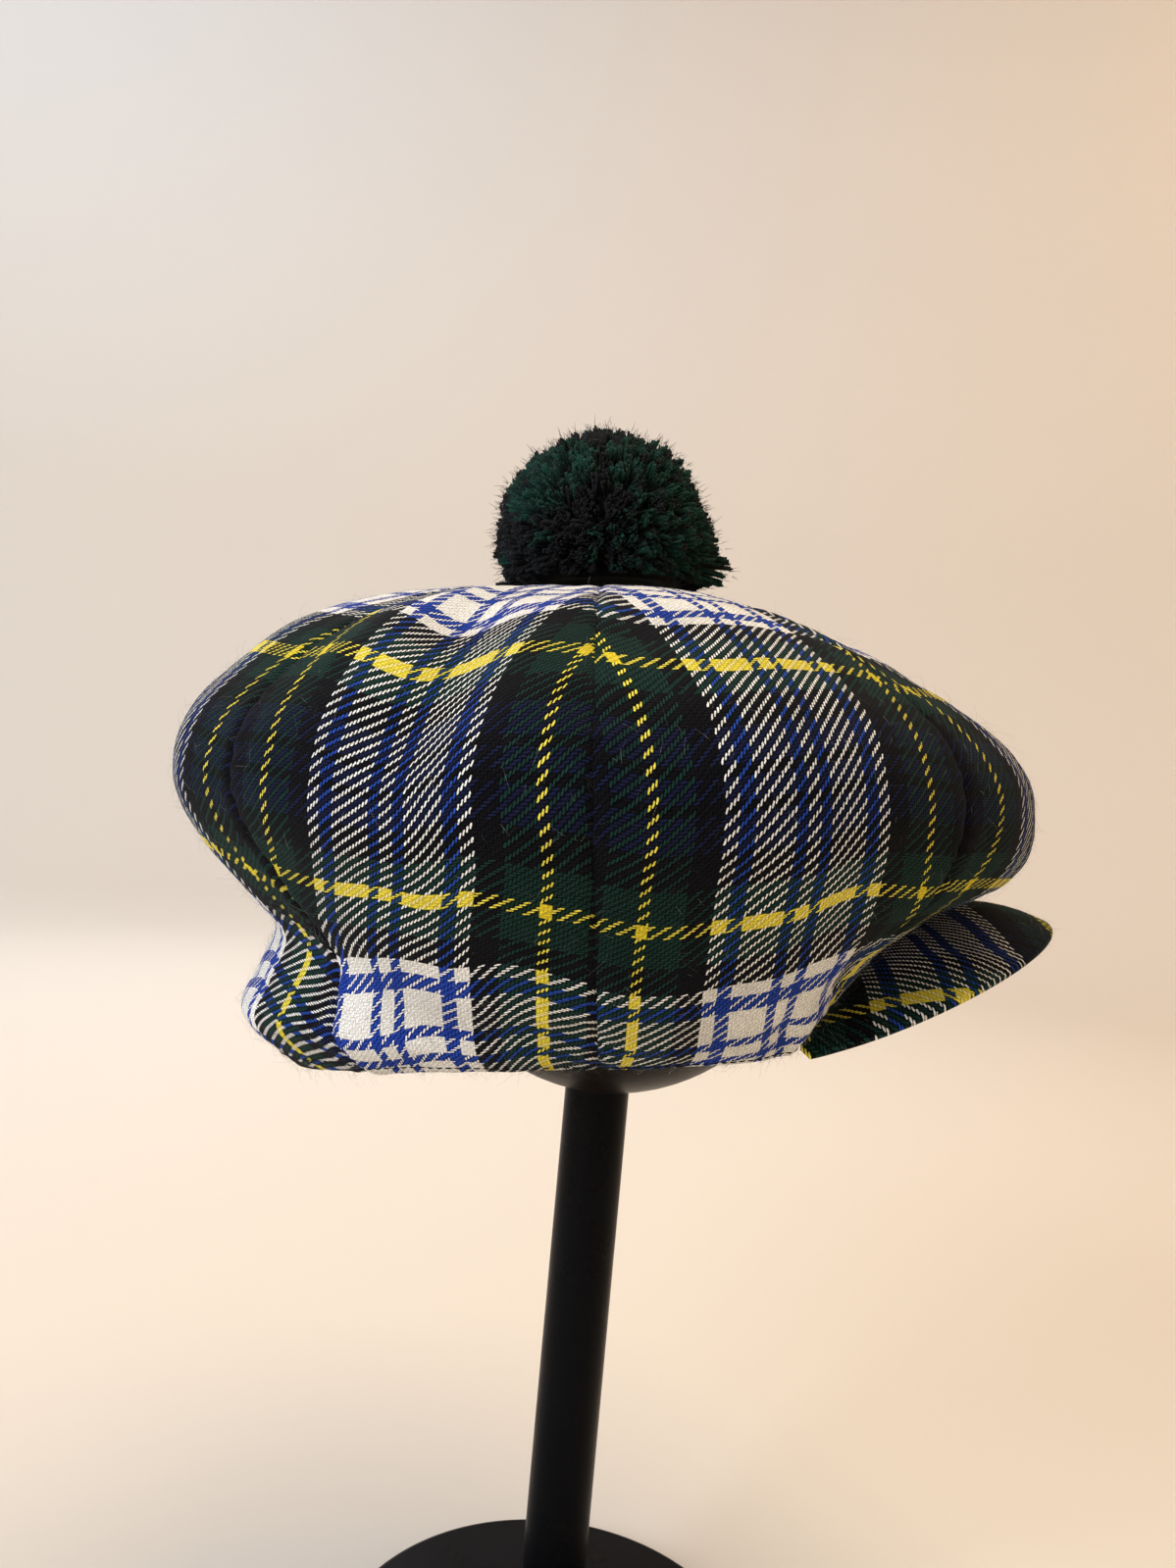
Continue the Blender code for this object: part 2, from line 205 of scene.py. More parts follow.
def mottle(
    tree: bpy.types.NodeTree, place: bpy.types.NodeSocket, scale: float, detail: float, least: float,
    most: float,
) -> tuple[bpy.types.NodeSocket, bpy.types.NodeSocket]:
    """Add noise that wanders between two values.

    Args:
        tree: The material's node tree.
        place: Where the noise reads its place.
        scale: Waves to a metre.
        detail: Octaves of the noise.
        least: Value in its dips.
        most: Value on its peaks.

    Returns:
        The plain noise, and the noise between the two values.
    """
    plain = add_node(
        tree, "ShaderNodeTexNoise", inputs={"Vector": place, "Scale": scale, "Detail": detail},
    ).outputs["Fac"]
    ranged = add_node(
        tree, "ShaderNodeMapRange", {},
        {"Value": plain, "From Min": 0.3, "From Max": 0.7, "To Min": least, "To Max": most},
    ).outputs[0]
    return plain, ranged


def turned_mesh(
    name: str, profile: Sequence[tuple[float, float]], steps: int, doubles: float,
) -> bpy.types.Mesh:
    """Turn a line about Z.

    Args:
        name: The mesh's name.
        profile: Distances from the axis and heights.
        steps: Steps of the whole turn.
        doubles: Points nearer than this become one.

    Returns:
        The mesh.
    """
    outline = bmesh.new()
    points = [outline.verts.new((distance, 0.0, height)) for distance, height in profile]
    for one, following in zip(points, points[1:]):
        outline.edges.new((one, following))
    bmesh.ops.spin(
        outline, geom=outline.verts[:] + outline.edges[:], cent=(0.0, 0.0, 0.0), axis=(0.0, 0.0, 1.0),
        angle=2.0 * math.pi, steps=steps, use_merge=True,
    )
    bmesh.ops.remove_doubles(outline, verts=outline.verts, dist=doubles)
    bmesh.ops.recalc_face_normals(outline, faces=outline.faces)
    return mesh_of(outline, name)


def cloth_sheet(
    name: str, cells_across: int, cells_along: int,
    lay: Callable[[float, float], tuple[Vector, tuple[float, float], float]],
) -> tuple[bpy.types.Mesh, dict[int, float]]:
    """Lay a grid out as a piece of cloth, with its place in the flat cloth as a UV map.

    Args:
        name: The mesh's name.
        cells_across: Cells along the grid's X.
        cells_along: Cells along the grid's Y.
        lay: Gives the point, the place in the cloth and the share of the wall at a place
            of the grid, which runs from -1 to 1 both ways.

    Returns:
        The mesh, and the share of the wall at each vertex.
    """
    sheet = bmesh.new()
    bmesh.ops.create_grid(sheet, x_segments=cells_across, y_segments=cells_along, size=1.0)
    map_layer = sheet.loops.layers.uv.new("cloth")
    flat: dict[int, tuple[float, float]] = {}
    shares: dict[int, float] = {}
    for vertex in sheet.verts:
        place, flat[vertex.index], shares[vertex.index] = lay(vertex.co.x, vertex.co.y)
        vertex.co = place
    for face in sheet.faces:
        for loop in face.loops:
            loop[map_layer].uv = flat[loop.vert.index]
    return mesh_of(sheet, name), shares


def give_wall(piece: bpy.types.Object, shares: dict[int, float], thickness: float, offset: float) -> None:
    """Give a sheet its thickness.

    Args:
        piece: The sheet.
        shares: Share of the thickness at each vertex.
        thickness: The full thickness.
        offset: Which side it grows to: -1 inwards, 0 both ways.
    """
    group = piece.vertex_groups.new(name="wall")
    for index, share in shares.items():
        group.add([index], share, "REPLACE")
    wall = piece.modifiers.new("wall", "SOLIDIFY")
    wall.thickness = thickness
    wall.offset = offset
    wall.vertex_group = "wall"


def blur_step(value: float, low: float, high: float) -> float:
    """Smooth step from 0 at low to 1 at high."""
    share = min(max((value - low) / (high - low), 0.0), 1.0)
    return share * share * (3.0 - 2.0 * share)


# Finishes


class Yarn(Enum):
    """Dyed yarns of the tartan, by their colour."""

    WHITE = "#FBFAF5"
    ROYAL_BLUE = "#264FB4"
    NAVY = "#151D40"
    BLACK = "#0C0D14"
    GREEN = "#153832"
    YELLOW = "#F5E756"


# Half the tartan's sett, from the middle of the white to the middle of the blue: each
# stripe's yarn, its warp threads, and its share of the weft in the same count
HALF_SETT = (
    (Yarn.WHITE, 2.0, 2.0), (Yarn.ROYAL_BLUE, 3.0, 3.0), (Yarn.WHITE, 11.0, 11.0),
    (Yarn.ROYAL_BLUE, 4.0, 4.0), (Yarn.WHITE, 4.0, 4.0), (Yarn.BLACK, 7.0, 7.0),
    (Yarn.GREEN, 9.0, 8.4), (Yarn.YELLOW, 3.0, 4.2), (Yarn.GREEN, 9.0, 8.4),
    (Yarn.BLACK, 8.0, 8.0), (Yarn.NAVY, 7.0, 7.0), (Yarn.BLACK, 3.0, 3.0), (Yarn.NAVY, 2.0, 2.0),
)
HALF_SETT_THREADS = 72.0
YELLOW_FROM_WHITE = 41.5 / HALF_SETT_THREADS


@dataclass(frozen=True)
class TartanWool:
    """Wool tartan in a two-by-two twill, dyed in the yarn and brushed by wear.

    Each thread shows as a soft slanting dash over two of the threads that cross it, and
    the dashes step up to the right. The piece's UV map gives its place in the cloth in
    millimetres, across the warp and then along it. The sett is longer along the warp,
    and the bulky yarn shows through the threads that lie over it. Pitches and the length
    of half the sett are in millimetres, and a dash's width and slant in threads.
    """

    warp_pitch: float = 0.95
    weft_pitch: float = 0.93
    warp_half_sett: float = 68.4
    weft_half_sett: float = 89.3
    waver: float = 0.26
    fibre_grain: float = 0.42
    dash_width: float = 0.54
    dash_slant: float = 0.26
    dash_ends: float = 1.3
    # Painted shade between the threads: the gaps get this share of the darker thread's colour, more of it
    # for paler threads
    gap_shade: float = 0.16
    pale_gap_shade: float = 0.55
    bulky: Yarn = Yarn.YELLOW
    show_through: float = 0.6
    relief: float = 0.00035

    # Waves to a metre: threads wander over 14 mm, their edges are hairy over 0.6 mm, the
    # fibres' flecks are 0.4 mm and the worn places 22 mm across
    wander_scale: float = 70.0
    hair_scale: float = 1700.0
    fibre_scale: float = 2600.0
    wear_scale: float = 45.0

    def stripes(
        self, tree: bpy.types.NodeTree, thread: bpy.types.NodeSocket, widths: Sequence[float],
        pitch: float, half_sett: float,
    ) -> bpy.types.Node:
        """Colour of one system of threads from the number of the thread.

        Args:
            tree: The material's node tree.
            thread: The whole number of the thread, counted from the white's middle.
            widths: Width of each stripe of half the sett, in threads of the warp's count.
            pitch: Distance between threads.
            half_sett: Length of half the sett.

        Returns:
            The node with the colour, and an alpha of 0 on the bulky yarn.
        """
        middle = add_node(
            tree, "ShaderNodeMath", {"operation": "MULTIPLY_ADD"},
            {0: thread, 1: pitch / half_sett, 2: 0.5 * pitch / half_sett},
        ).outputs[0]
        share = add_node(tree, "ShaderNodeMath", {"operation": "PINGPONG"}, {0: middle, 1: 1.0}).outputs[0]
        bands = add_node(tree, "ShaderNodeValToRGB", inputs={"Fac": share})
        ramp = bands.color_ramp
        ramp.interpolation = "CONSTANT"
        passed = 0.0
        for index, (stripe, width) in enumerate(zip(HALF_SETT, widths)):
            place = passed / HALF_SETT_THREADS
            stop = ramp.elements[0] if index == 0 else ramp.elements.new(place)
            stop.position = place
            stop.color = (*linear(stripe[0].value)[:3], 0.0 if stripe[0] is self.bulky else 1.0)
            passed += width
        ramp.elements.remove(ramp.elements[-1])
        return bands

    def material(self) -> bpy.types.Material:
        """Make the cloth's material.

        Returns:
            The material.
        """
        made, tree, shader = blank_material("two-by-two twill wool tartan")
        solid = add_node(tree, "ShaderNodeTexCoord").outputs["Object"]
        nets = {"place": add_node(tree, "ShaderNodeUVMap", {"uv_map": "cloth"}).outputs["UV"]}

        # Hand of the yarn: threads waver a little and their edges are hairy
        for name, scale, detail in (("slow", self.wander_scale, 1.0), ("quick", self.hair_scale, 2.0)):
            nets[name] = add_node(
                tree, "ShaderNodeTexNoise", inputs={"Vector": solid, "Scale": scale, "Detail": detail},
            ).outputs["Color"]
        wire(tree, nets, (
            ("both", "VectorMath", "ADD", {0: "slow", 1: "quick"}),
            ("centred", "VectorMath", "SUBTRACT", {0: "both", 1: (1.0, 1.0, 1.0)}),
            ("shaken", "VectorMath", "SCALE", {0: "centred", "Scale": 2.0 * self.waver}),
            ("moved", "VectorMath", "ADD", {0: "place", 1: "shaken"}),
        ))
        split = add_node(tree, "ShaderNodeSeparateXYZ", inputs={0: nets["moved"]})
        nets["across"], nets["along"] = split.outputs["X"], split.outputs["Y"]

        # Number of each thread, the place across it from 0 to 1, and the twill: the warp
        # is on top for two picks out of four, a thread later each time
        wire(tree, nets, (
            ("warps", "Math", "DIVIDE", {0: "across", 1: self.warp_pitch}),
            ("wefts", "Math", "DIVIDE", {0: "along", 1: self.weft_pitch}),
            ("warp_number", "Math", "FLOOR", {0: "warps"}),
            ("weft_number", "Math", "FLOOR", {0: "wefts"}),
            ("warp_share", "Math", "FRACT", {0: "warps"}),
            ("weft_share", "Math", "FRACT", {0: "wefts"}),
            ("step", "Math", "ADD", {0: "warp_number", 1: "weft_number"}),
            ("turn", "Math", "FLOORED_MODULO", {0: "step", 1: 4.0}),
            ("warp_up", "Math", "LESS_THAN", {0: "turn", 1: 2.0}),
        ))
        for name, column, pitch, half_sett in (
            ("warp", 1, self.warp_pitch, self.warp_half_sett),
            ("weft", 2, self.weft_pitch, self.weft_half_sett),
        ):
            widths = [stripe[column] for stripe in HALF_SETT]
            bands = self.stripes(tree, nets[f"{name}_number"], widths, pitch, half_sett)
            nets[name], nets[f"{name}_plain"] = bands.outputs["Color"], bands.outputs["Alpha"]

        # The upper thread's colour, the gaps' painted shade, darker than either thread, and
        # the dash that each thread shows: round across the thread, leaning, and diving under at
        # both ends, its edges and ends fading to the painted shade of the gaps
        wire(tree, nets, (
            ("over", "Mix", "MIX", {0: "warp_up", 6: "weft", 7: "warp"}),
            ("under", "Mix", "MIX", {0: "warp_up", 6: "warp", 7: "weft"}),
            ("plain", "Mix", "FLOAT", {0: "warp_up", 2: "warp_plain", 3: "weft_plain"}),
            ("showing", "Math", "MULTIPLY_ADD", {0: "plain", 1: -self.show_through, 2: self.show_through}),
            ("upper", "Mix", "MULTIPLY", {0: "showing", 6: "over", 7: "under"}),
            ("darker", "Mix", "DARKEN", {0: 1.0, 6: "warp", 7: "weft"}),
            ("shade", "VectorMath", "MULTIPLY_ADD", {
                0: "darker", 1: (self.pale_gap_shade,) * 3, 2: (self.gap_shade,) * 3,
            }),
            ("gap", "VectorMath", "MULTIPLY", {0: "darker", 1: "shade"}),
            ("aside", "Mix", "FLOAT", {0: "warp_up", 2: "weft_share", 3: "warp_share"}),
            ("within", "Mix", "FLOAT", {0: "warp_up", 2: "warp_share", 3: "weft_share"}),
            ("half", "Math", "FLOORED_MODULO", {0: "turn", 1: 2.0}),
            ("passed", "Math", "ADD", {0: "half", 1: "within"}),
            ("from_middle", "Math", "SUBTRACT", {0: "passed", 1: 1.0}),
            ("leaning", "Math", "MULTIPLY_ADD", {0: "from_middle", 1: self.dash_slant, 2: "aside"}),
            ("off_line", "Math", "MULTIPLY_ADD", {
                0: "leaning", 1: 2.0 / self.dash_width, 2: -1.0 / self.dash_width,
            }),
            ("squared", "Math", "MULTIPLY", {0: "off_line", 1: "off_line"}),
            ("ends", "Math", "MULTIPLY", {0: "from_middle", 1: "from_middle"}),
            ("tapered", "Math", "MULTIPLY", {0: "ends", 1: self.dash_ends}),
            ("spread", "Math", "MULTIPLY_ADD", {0: "tapered", 1: "ends", 2: "squared"}),
        ))
        nets["top"] = add_node(
            tree, "ShaderNodeMapRange", {"interpolation_type": "SMOOTHSTEP"},
            {"Value": nets["spread"], "From Min": 1.30, "From Max": 0.50, "To Min": 0.0, "To Max": 1.0},
        ).outputs[0]

        # The fibres catch the light unevenly and the cloth is worn in places
        nets["grain"], nets["fleck"] = mottle(
            tree, solid, self.fibre_scale, detail=3.0,
            least=1.0 - self.fibre_grain, most=1.0 + self.fibre_grain,
        )
        _worn, nets["tone"] = mottle(tree, solid, self.wear_scale, detail=4.0, least=0.86, most=1.1)
        wire(tree, nets, (
            ("dyed", "Mix", "MIX", {0: "top", 6: "gap", 7: "upper"}),
            ("light", "Math", "MULTIPLY", {0: "tone", 1: "fleck"}),
            ("tinted", "VectorMath", "SCALE", {0: "dyed", "Scale": "light"}),
            ("hair", "Math", "MULTIPLY_ADD", {0: "grain", 1: 0.9, 2: "top"}),
        ))
        finish_shader(
            tree, shader, nets["tinted"], nets["hair"], relief=self.relief, strength=0.9,
            constants={
                "Roughness": 0.95, "Specular IOR Level": 0.10, "Sheen Weight": 0.05,
                "Sheen Roughness": 0.45, "Sheen Tint": linear("#A9B2B8"),
            },
        )
        return made


@dataclass(frozen=True)
class ToneYarn:
    """Matt wool yarn whose strands run between two colours.

    The piece's attribute "dye" goes from 0 for the first colour to 1 for the second,
    and "shade" darkens the roots. The fibres' flecks are 0.55 mm across.
    """

    name: str
    first: str
    second: str
    sheen: float
    fibre_scale: float = 1800.0

    def material(self) -> bpy.types.Material:
        """Make the yarn's material.

        Returns:
            The material.
        """
        made, tree, shader = blank_material(self.name)
        solid = add_node(tree, "ShaderNodeTexCoord").outputs["Object"]
        nets = {}
        for name in ("dye", "shade"):
            nets[name] = add_node(tree, "ShaderNodeAttribute", {"attribute_name": name}).outputs["Fac"]
        nets["fibre"], nets["fleck"] = mottle(
            tree, solid, self.fibre_scale, detail=3.0, least=0.6, most=1.5,
        )
        wire(tree, nets, (
            ("colour", "Mix", "MIX", {0: "dye", 6: linear(self.first), 7: linear(self.second)}),
            ("light", "Math", "MULTIPLY", {0: "shade", 1: "fleck"}),
            ("tinted", "VectorMath", "SCALE", {0: "colour", "Scale": "light"}),
        ))
        finish_shader(
            tree, shader, nets["tinted"], nets["fibre"], relief=0.0004, strength=0.8,
            constants={
                "Roughness": 0.95, "Specular IOR Level": 0.2,
                "Sheen Weight": self.sheen, "Sheen Roughness": 0.5,
            },
        )
        return made


@dataclass(frozen=True)
class SatinCoat:
    """Baked satin paint: a fine even orange peel under a soft broad highlight."""

    name: str
    colour: str
    roughness: float
    shine: float = 0.06
    smear: float = 0.07
    peel: float = 0.00002
    peel_width: float = 0.0006
    smear_width: float = 0.02

    def material(self) -> bpy.types.Material:
        """Make the paint's material.

        Returns:
            The material.
        """
        made, tree, shader = blank_material(self.name)
        solid = add_node(tree, "ShaderNodeTexCoord").outputs["Object"]
        grain = add_node(
            tree, "ShaderNodeTexNoise", {},
            {"Vector": solid, "Scale": 1.0 / self.peel_width, "Detail": 2.0},
        ).outputs["Fac"]
        wear, gloss = mottle(
            tree, solid, 1.0 / self.smear_width, detail=4.0,
            least=self.roughness - self.smear, most=self.roughness + self.smear,
        )
        tone = add_node(
            tree, "ShaderNodeMapRange", {},
            {"Value": wear, "From Min": 0.3, "From Max": 0.7, "To Min": 0.85, "To Max": 1.2},
        ).outputs[0]
        tinted = add_node(
            tree, "ShaderNodeVectorMath", {"operation": "SCALE"},
            {0: linear(self.colour)[:3], "Scale": tone},
        ).outputs[0]
        tree.links.new(gloss, shader.inputs["Roughness"])
        finish_shader(
            tree, shader, tinted, grain, relief=self.peel, strength=0.5,
            constants={"Specular IOR Level": self.shine},
        )
        return made


@dataclass(frozen=True)
class PalePaper:
    """Matt seamless paper under and behind the object, with a tooth 1.1 mm across."""

    colour: str
    tooth_scale: float = 900.0

    def material(self) -> bpy.types.Material:
        """Make the paper's material.

        Returns:
            The material.
        """
        made, tree, shader = blank_material("matt seamless paper")
        solid = add_node(tree, "ShaderNodeTexCoord").outputs["Object"]
        tooth = add_node(
            tree, "ShaderNodeTexNoise", inputs={"Vector": solid, "Scale": self.tooth_scale, "Detail": 2.0},
        ).outputs["Fac"]
        finish_shader(tree, shader, None, tooth, relief=0.00005, strength=0.4, constants={
            "Base Color": linear(self.colour), "Roughness": 0.9,
        })
        return made


# Form of the cap


# Sections from the middle of the crown down to the hem. Reach is a share of the crown's
# radius and height a share of its height above the hem's middle plane. Arch is the share
# of the hem's rise over the peak, and puff the share of a gore's roundness.
SECTION_COLUMNS = (
    "name", "front_reach", "front_height", "side_reach", "side_height",
    "back_reach", "back_height", "arch", "puff",
)
SECTIONS = (
    ("centre", 0.000, 1.000, 0.000, 1.000, 0.000, 1.000, 0.00, 0.0),
    ("inner crown", 0.200, 0.973, 0.200, 0.982, 0.200, 0.997, 0.00, 0.1),
    ("middle crown", 0.400, 0.912, 0.400, 0.944, 0.400, 0.984, 0.00, 0.3),
    ("outer crown", 0.613, 0.815, 0.614, 0.880, 0.600, 0.950, 0.00, 0.5),
    ("shoulder", 0.779, 0.712, 0.780, 0.790, 0.745, 0.898, 0.00, 0.8),
    ("upper rim", 0.902, 0.615, 0.903, 0.706, 0.868, 0.803, 0.00, 1.0),
    ("top of rim", 0.976, 0.532, 0.970, 0.625, 0.963, 0.708, 0.00, 1.0),
    ("rim", 0.993, 0.455, 0.997, 0.535, 1.000, 0.600, 0.00, 1.0),
    ("lower rim", 0.980, 0.376, 0.970, 0.446, 0.989, 0.519, 0.05, 1.0),
    ("under rim", 0.921, 0.275, 0.908, 0.353, 0.934, 0.424, 0.25, 0.8),
    ("underside", 0.821, 0.202, 0.835, 0.245, 0.850, 0.318, 0.50, 0.6),
    ("neck", 0.700, 0.121, 0.768, 0.140, 0.786, 0.240, 0.75, 0.4),
    ("band", 0.675, 0.072, 0.704, 0.078, 0.836, 0.130, 0.85, 0.3),
    ("lower band", 0.660, 0.026, 0.658, 0.034, 0.878, 0.030, 0.95, 0.2),
    ("hem", 0.650, -0.008, 0.607, -0.002, 0.760, -0.085, 1.00, 0.1),
)

# Dents and folds. Azimuth and its reach are degrees from the front, positive to the
# cap's left. Row and its reach count rows of the sections. Slant is degrees a row, and
# depth a share of the crown's radius, out if positive.
FOLDS = (
    ("diagonal dent in the right back gore", -108.0, 5.4, 6.5, 1.9, -2.2, -0.044),
    ("valley above the dent", -112.0, 3.5, 7.0, 0.9, 0.0, -0.026),
    ("bulge behind the valley", -122.0, 3.9, 8.0, 1.0, 0.0, 0.018),
    ("bulge ahead of the valley", -99.0, 3.9, 7.0, 1.0, 0.0, 0.016),
    ("gather above the right end of the peak", -50.0, 10.6, 5.0, 1.0, 1.5, -0.024),
    ("gather above the left end of the peak", 50.0, 10.6, 5.0, 1.0, -1.5, -0.024),
    ("hollow over the right back of the neck", -140.0, 10.8, 12.0, 1.2, 0.0, -0.020),
    ("soft dent in the left side", 74.0, 5.6, 9.0, 1.8, 1.5, -0.020),
    ("soft dent in the left back", 128.0, 4.6, 9.0, 1.6, -1.5, -0.018),
    ("crease beside the peak's right end", -57.0, 12.4, 3.2, 1.3, 2.0, -0.016),
    ("crease beside the peak's left end", 57.0, 12.4, 3.2, 1.3, -2.0, -0.016),
)


def between_rows(values: Sequence[float], station: float) -> float:
    """Catmull-Rom value of a column at a fractional row number.

    Args:
        values: The column, a value for each row.
        station: The row number.

    Returns:
        The value there.
    """
    last = len(values) - 1
    row = min(int(station), last - 1)
    step = station - row
    before = values[max(row - 1, 0)]
    start = values[row]
    end = values[row + 1]
    after = values[min(row + 2, last)]
    bend = 2.0 * before - 5.0 * start + 4.0 * end - after
    twist = 3.0 * start - before - 3.0 * end + after
    return start + 0.5 * step * (end - before + step * (bend + step * twist))


def turn_between(azimuth: float, middle: float) -> float:
    """Signed angle from one azimuth to another, the short way round."""
    return (azimuth - middle + math.pi) % (2.0 * math.pi) - math.pi


@dataclass(frozen=True)
class CapForm:
    """The outer surface of the cap's cloth, as a function of azimuth and section row."""

    gores: int = 8
    crown_radius: float = 0.140
    crown_height: float = 0.1463
    tilt: float = math.radians(5.4)
    wall: float = 0.002
    centre_hole: float = 0.003
    clearance: float = 0.0003
    arch_half_angle: float = math.radians(51.0)
    arch_rise: float = 0.198
    arch_power: float = 0.8
    puff: float = 0.018
    seam_depth: float = 0.0005
    seam_width: float = 0.0011
    ridge: float = 0.0003
    ridge_from_seam: float = 0.0042
    ridge_width: float = 0.003
    pucker_depth: float = 0.0003
    pucker_length: float = 0.0085
    pucker_reach: float = 0.008
    pucker_wander: float = 9.0
    pucker_waves: float = 60.0
    puckers_from: float = 4.0
    puckers_to: float = 6.0
    fit_turns: int = 24
    fit_half_rows: int = 11
    head_radius: float = 0.075
    head_height: float = 0.171

    # The worn cloth's small unevenness: depths in metres, and waves to a metre
    unevenness = ((0.0011, 32.0), (0.0005, 75.0), (0.00014, 260.0))

    @property
    def hem(self) -> float:
        """Row number of the hem."""
        return float(len(SECTIONS) - 1)

    @property
    def half_gore(self) -> float:
        """Half the angle that one gore covers."""
        return math.pi / self.gores

    def arch_share(self, azimuth: float) -> float:
        """How far the hem rises over the peak: 1 at the front, 0 behind the peak's ends."""
        turn = min(abs(turn_between(azimuth, 0.0)) / self.arch_half_angle, 1.0)
        return max(math.cos(0.5 * math.pi * turn), 0.0) ** self.arch_power

    def plain_section(self, azimuth: float, station: float) -> tuple[float, float]:
        """Reach and height of the cloth before seams and folds.

        Args:
            azimuth: Angle from the front.
            station: Section row.

        Returns:
            Reach from the cap's axis and height above the hem's middle plane.
        """
        ahead = max(math.cos(azimuth), 0.0) ** 2
        behind = max(-math.cos(azimuth), 0.0) ** 2
        beside = math.sin(azimuth) ** 2
        reach = (
            ahead * between_rows(COLUMN["front_reach"], station)
            + beside * between_rows(COLUMN["side_reach"], station)
            + behind * between_rows(COLUMN["back_reach"], station)
        )
        height = (
            ahead * between_rows(COLUMN["front_height"], station)
            + beside * between_rows(COLUMN["side_height"], station)
            + behind * between_rows(COLUMN["back_height"], station)
            + self.arch_rise * self.arch_share(azimuth) * between_rows(COLUMN["arch"], station)
        )
        room = self.crown_radius - self.centre_hole
        return self.centre_hole + reach * room, height * self.crown_height

    def folds(self, azimuth: float, station: float) -> float:
        """How far the large folds and the gores' roundness move the cloth out.

        Args:
            azimuth: Angle from the front.
            station: Section row.

        Returns:
            The distance, in metres.
        """
        across = 2.0 * ((azimuth / (2.0 * self.half_gore)) % 1.0) - 1.0
        out = self.puff * between_rows(COLUMN["puff"], station) * (1.0 - across * across)
        for _name, middle, row, reach, rows, slant, depth in FOLDS:
            along = station - row
            aside = math.degrees(turn_between(azimuth, math.radians(middle))) - slant * along
            out += depth * math.exp(-((aside / reach) ** 2) - (along / rows) ** 2)
        return out * self.crown_radius

    def creases(self, azimuth: float, station: float, place: Vector) -> float:
        """How far seams, puckers and the cloth's small unevenness move it out.

        Args:
            azimuth: Angle from the front.
            station: Section row.
            place: The point on the plain cap.

        Returns:
            The distance, in metres.
        """
        reach = math.hypot(place.x, place.y)
        gore_angle = 2.0 * self.half_gore
        from_seam = abs(turn_between(azimuth, gore_angle * round(azimuth / gore_angle))) * reach
        fade = min(station, 1.0)
        groove = self.seam_depth * math.exp(-((from_seam / self.seam_width) ** 2)) * fade
        ridge = self.ridge * math.exp(-(((from_seam - self.ridge_from_seam) / self.ridge_width) ** 2)) * fade
        wander = self.pucker_wander * noise.noise(place * self.pucker_waves)
        pucker = self.pucker_depth * math.sin(place.z * 2.0 * math.pi / self.pucker_length + wander)
        shown = blur_step(station, self.puckers_from, self.puckers_to)
        pucker *= math.exp(-((from_seam / self.pucker_reach) ** 2)) * shown
        uneven = sum(depth * noise.noise(place * waves) for depth, waves in self.unevenness)
        return uneven * fade + ridge + pucker - groove

    def section(self, azimuth: float, station: float, out: float = 0.0) -> tuple[float, float]:
        """Reach and height of the finished cloth.

        Args:
            azimuth: Angle from the front.
            station: Section row.
            out: Extra distance outwards.

        Returns:
            Reach from the cap's axis and height above the hem's middle plane.
        """
        step = 0.05
        low = max(station - step, 0.0)
        high = min(station + step, self.hem)
        reach_low, height_low = self.plain_section(azimuth, low)
        reach_high, height_high = self.plain_section(azimuth, high)
        along = Vector((reach_high - reach_low, height_high - height_low)).normalized()
        reach, height = self.plain_section(azimuth, station)
        distance = self.folds(azimuth, station) + out
        return reach - distance * along.y, height + distance * along.x

    def place(self, azimuth: float, reach: float, height: float, seat: float) -> Vector:
        """World point of a place in the cap's own tilted frame.

        Args:
            azimuth: Angle from the front.
            reach: Distance from the cap's axis.
            height: Height above the hem's middle plane.
            seat: Height of the hem's middle above the floor.

        Returns:
            The point.
        """
        forward = reach * math.cos(azimuth)
        left = reach * math.sin(azimuth)
        ahead = forward * math.cos(self.tilt) - height * math.sin(self.tilt)
        up = forward * math.sin(self.tilt) + height * math.cos(self.tilt)
        return Vector((ahead, left, up + seat))

    def plain_point(self, azimuth: float, station: float, seat: float, out: float = 0.0) -> Vector:
        """World point of the cloth with its folds but no creases."""
        reach, height = self.section(azimuth, station, out)
        return self.place(azimuth, reach, height, seat)

    def point(self, azimuth: float, station: float, seat: float, out: float = 0.0) -> Vector:
        """World point of the finished cloth.

        Args:
            azimuth: Angle from the front.
            station: Section row.
            seat: Height of the hem's middle above the floor.
            out: Extra distance outwards.

        Returns:
            The point.
        """
        plain = self.plain_point(azimuth, station, seat)
        extra = self.creases(azimuth, station, plain - Vector((0.0, 0.0, seat)))
        return self.plain_point(azimuth, station, seat, extra + out)

    def seat(self) -> float:
        """Height of the hem's middle at which the lining just clears the stand's head.

        Returns:
            The height above the floor.
        """
        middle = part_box("stand_head")[1].z - 0.5 * self.head_height
        lift = 0.0
        for turn in range(self.fit_turns):
            azimuth = math.radians(360.0 / self.fit_turns * turn)
            for half_row in range(self.fit_half_rows):
                lining = self.plain_point(azimuth, 0.5 * half_row, 0.0, -self.wall)
                distance = math.hypot(lining.x, lining.y)
                if distance < self.head_radius:
                    share = distance / self.head_radius
                    top = middle + 0.5 * self.head_height * math.sqrt(1.0 - share * share)
                    lift = max(lift, top - lining.z)
        return lift + self.clearance


COLUMN = {name: [row[index] for row in SECTIONS] for index, name in enumerate(SECTION_COLUMNS) if index}


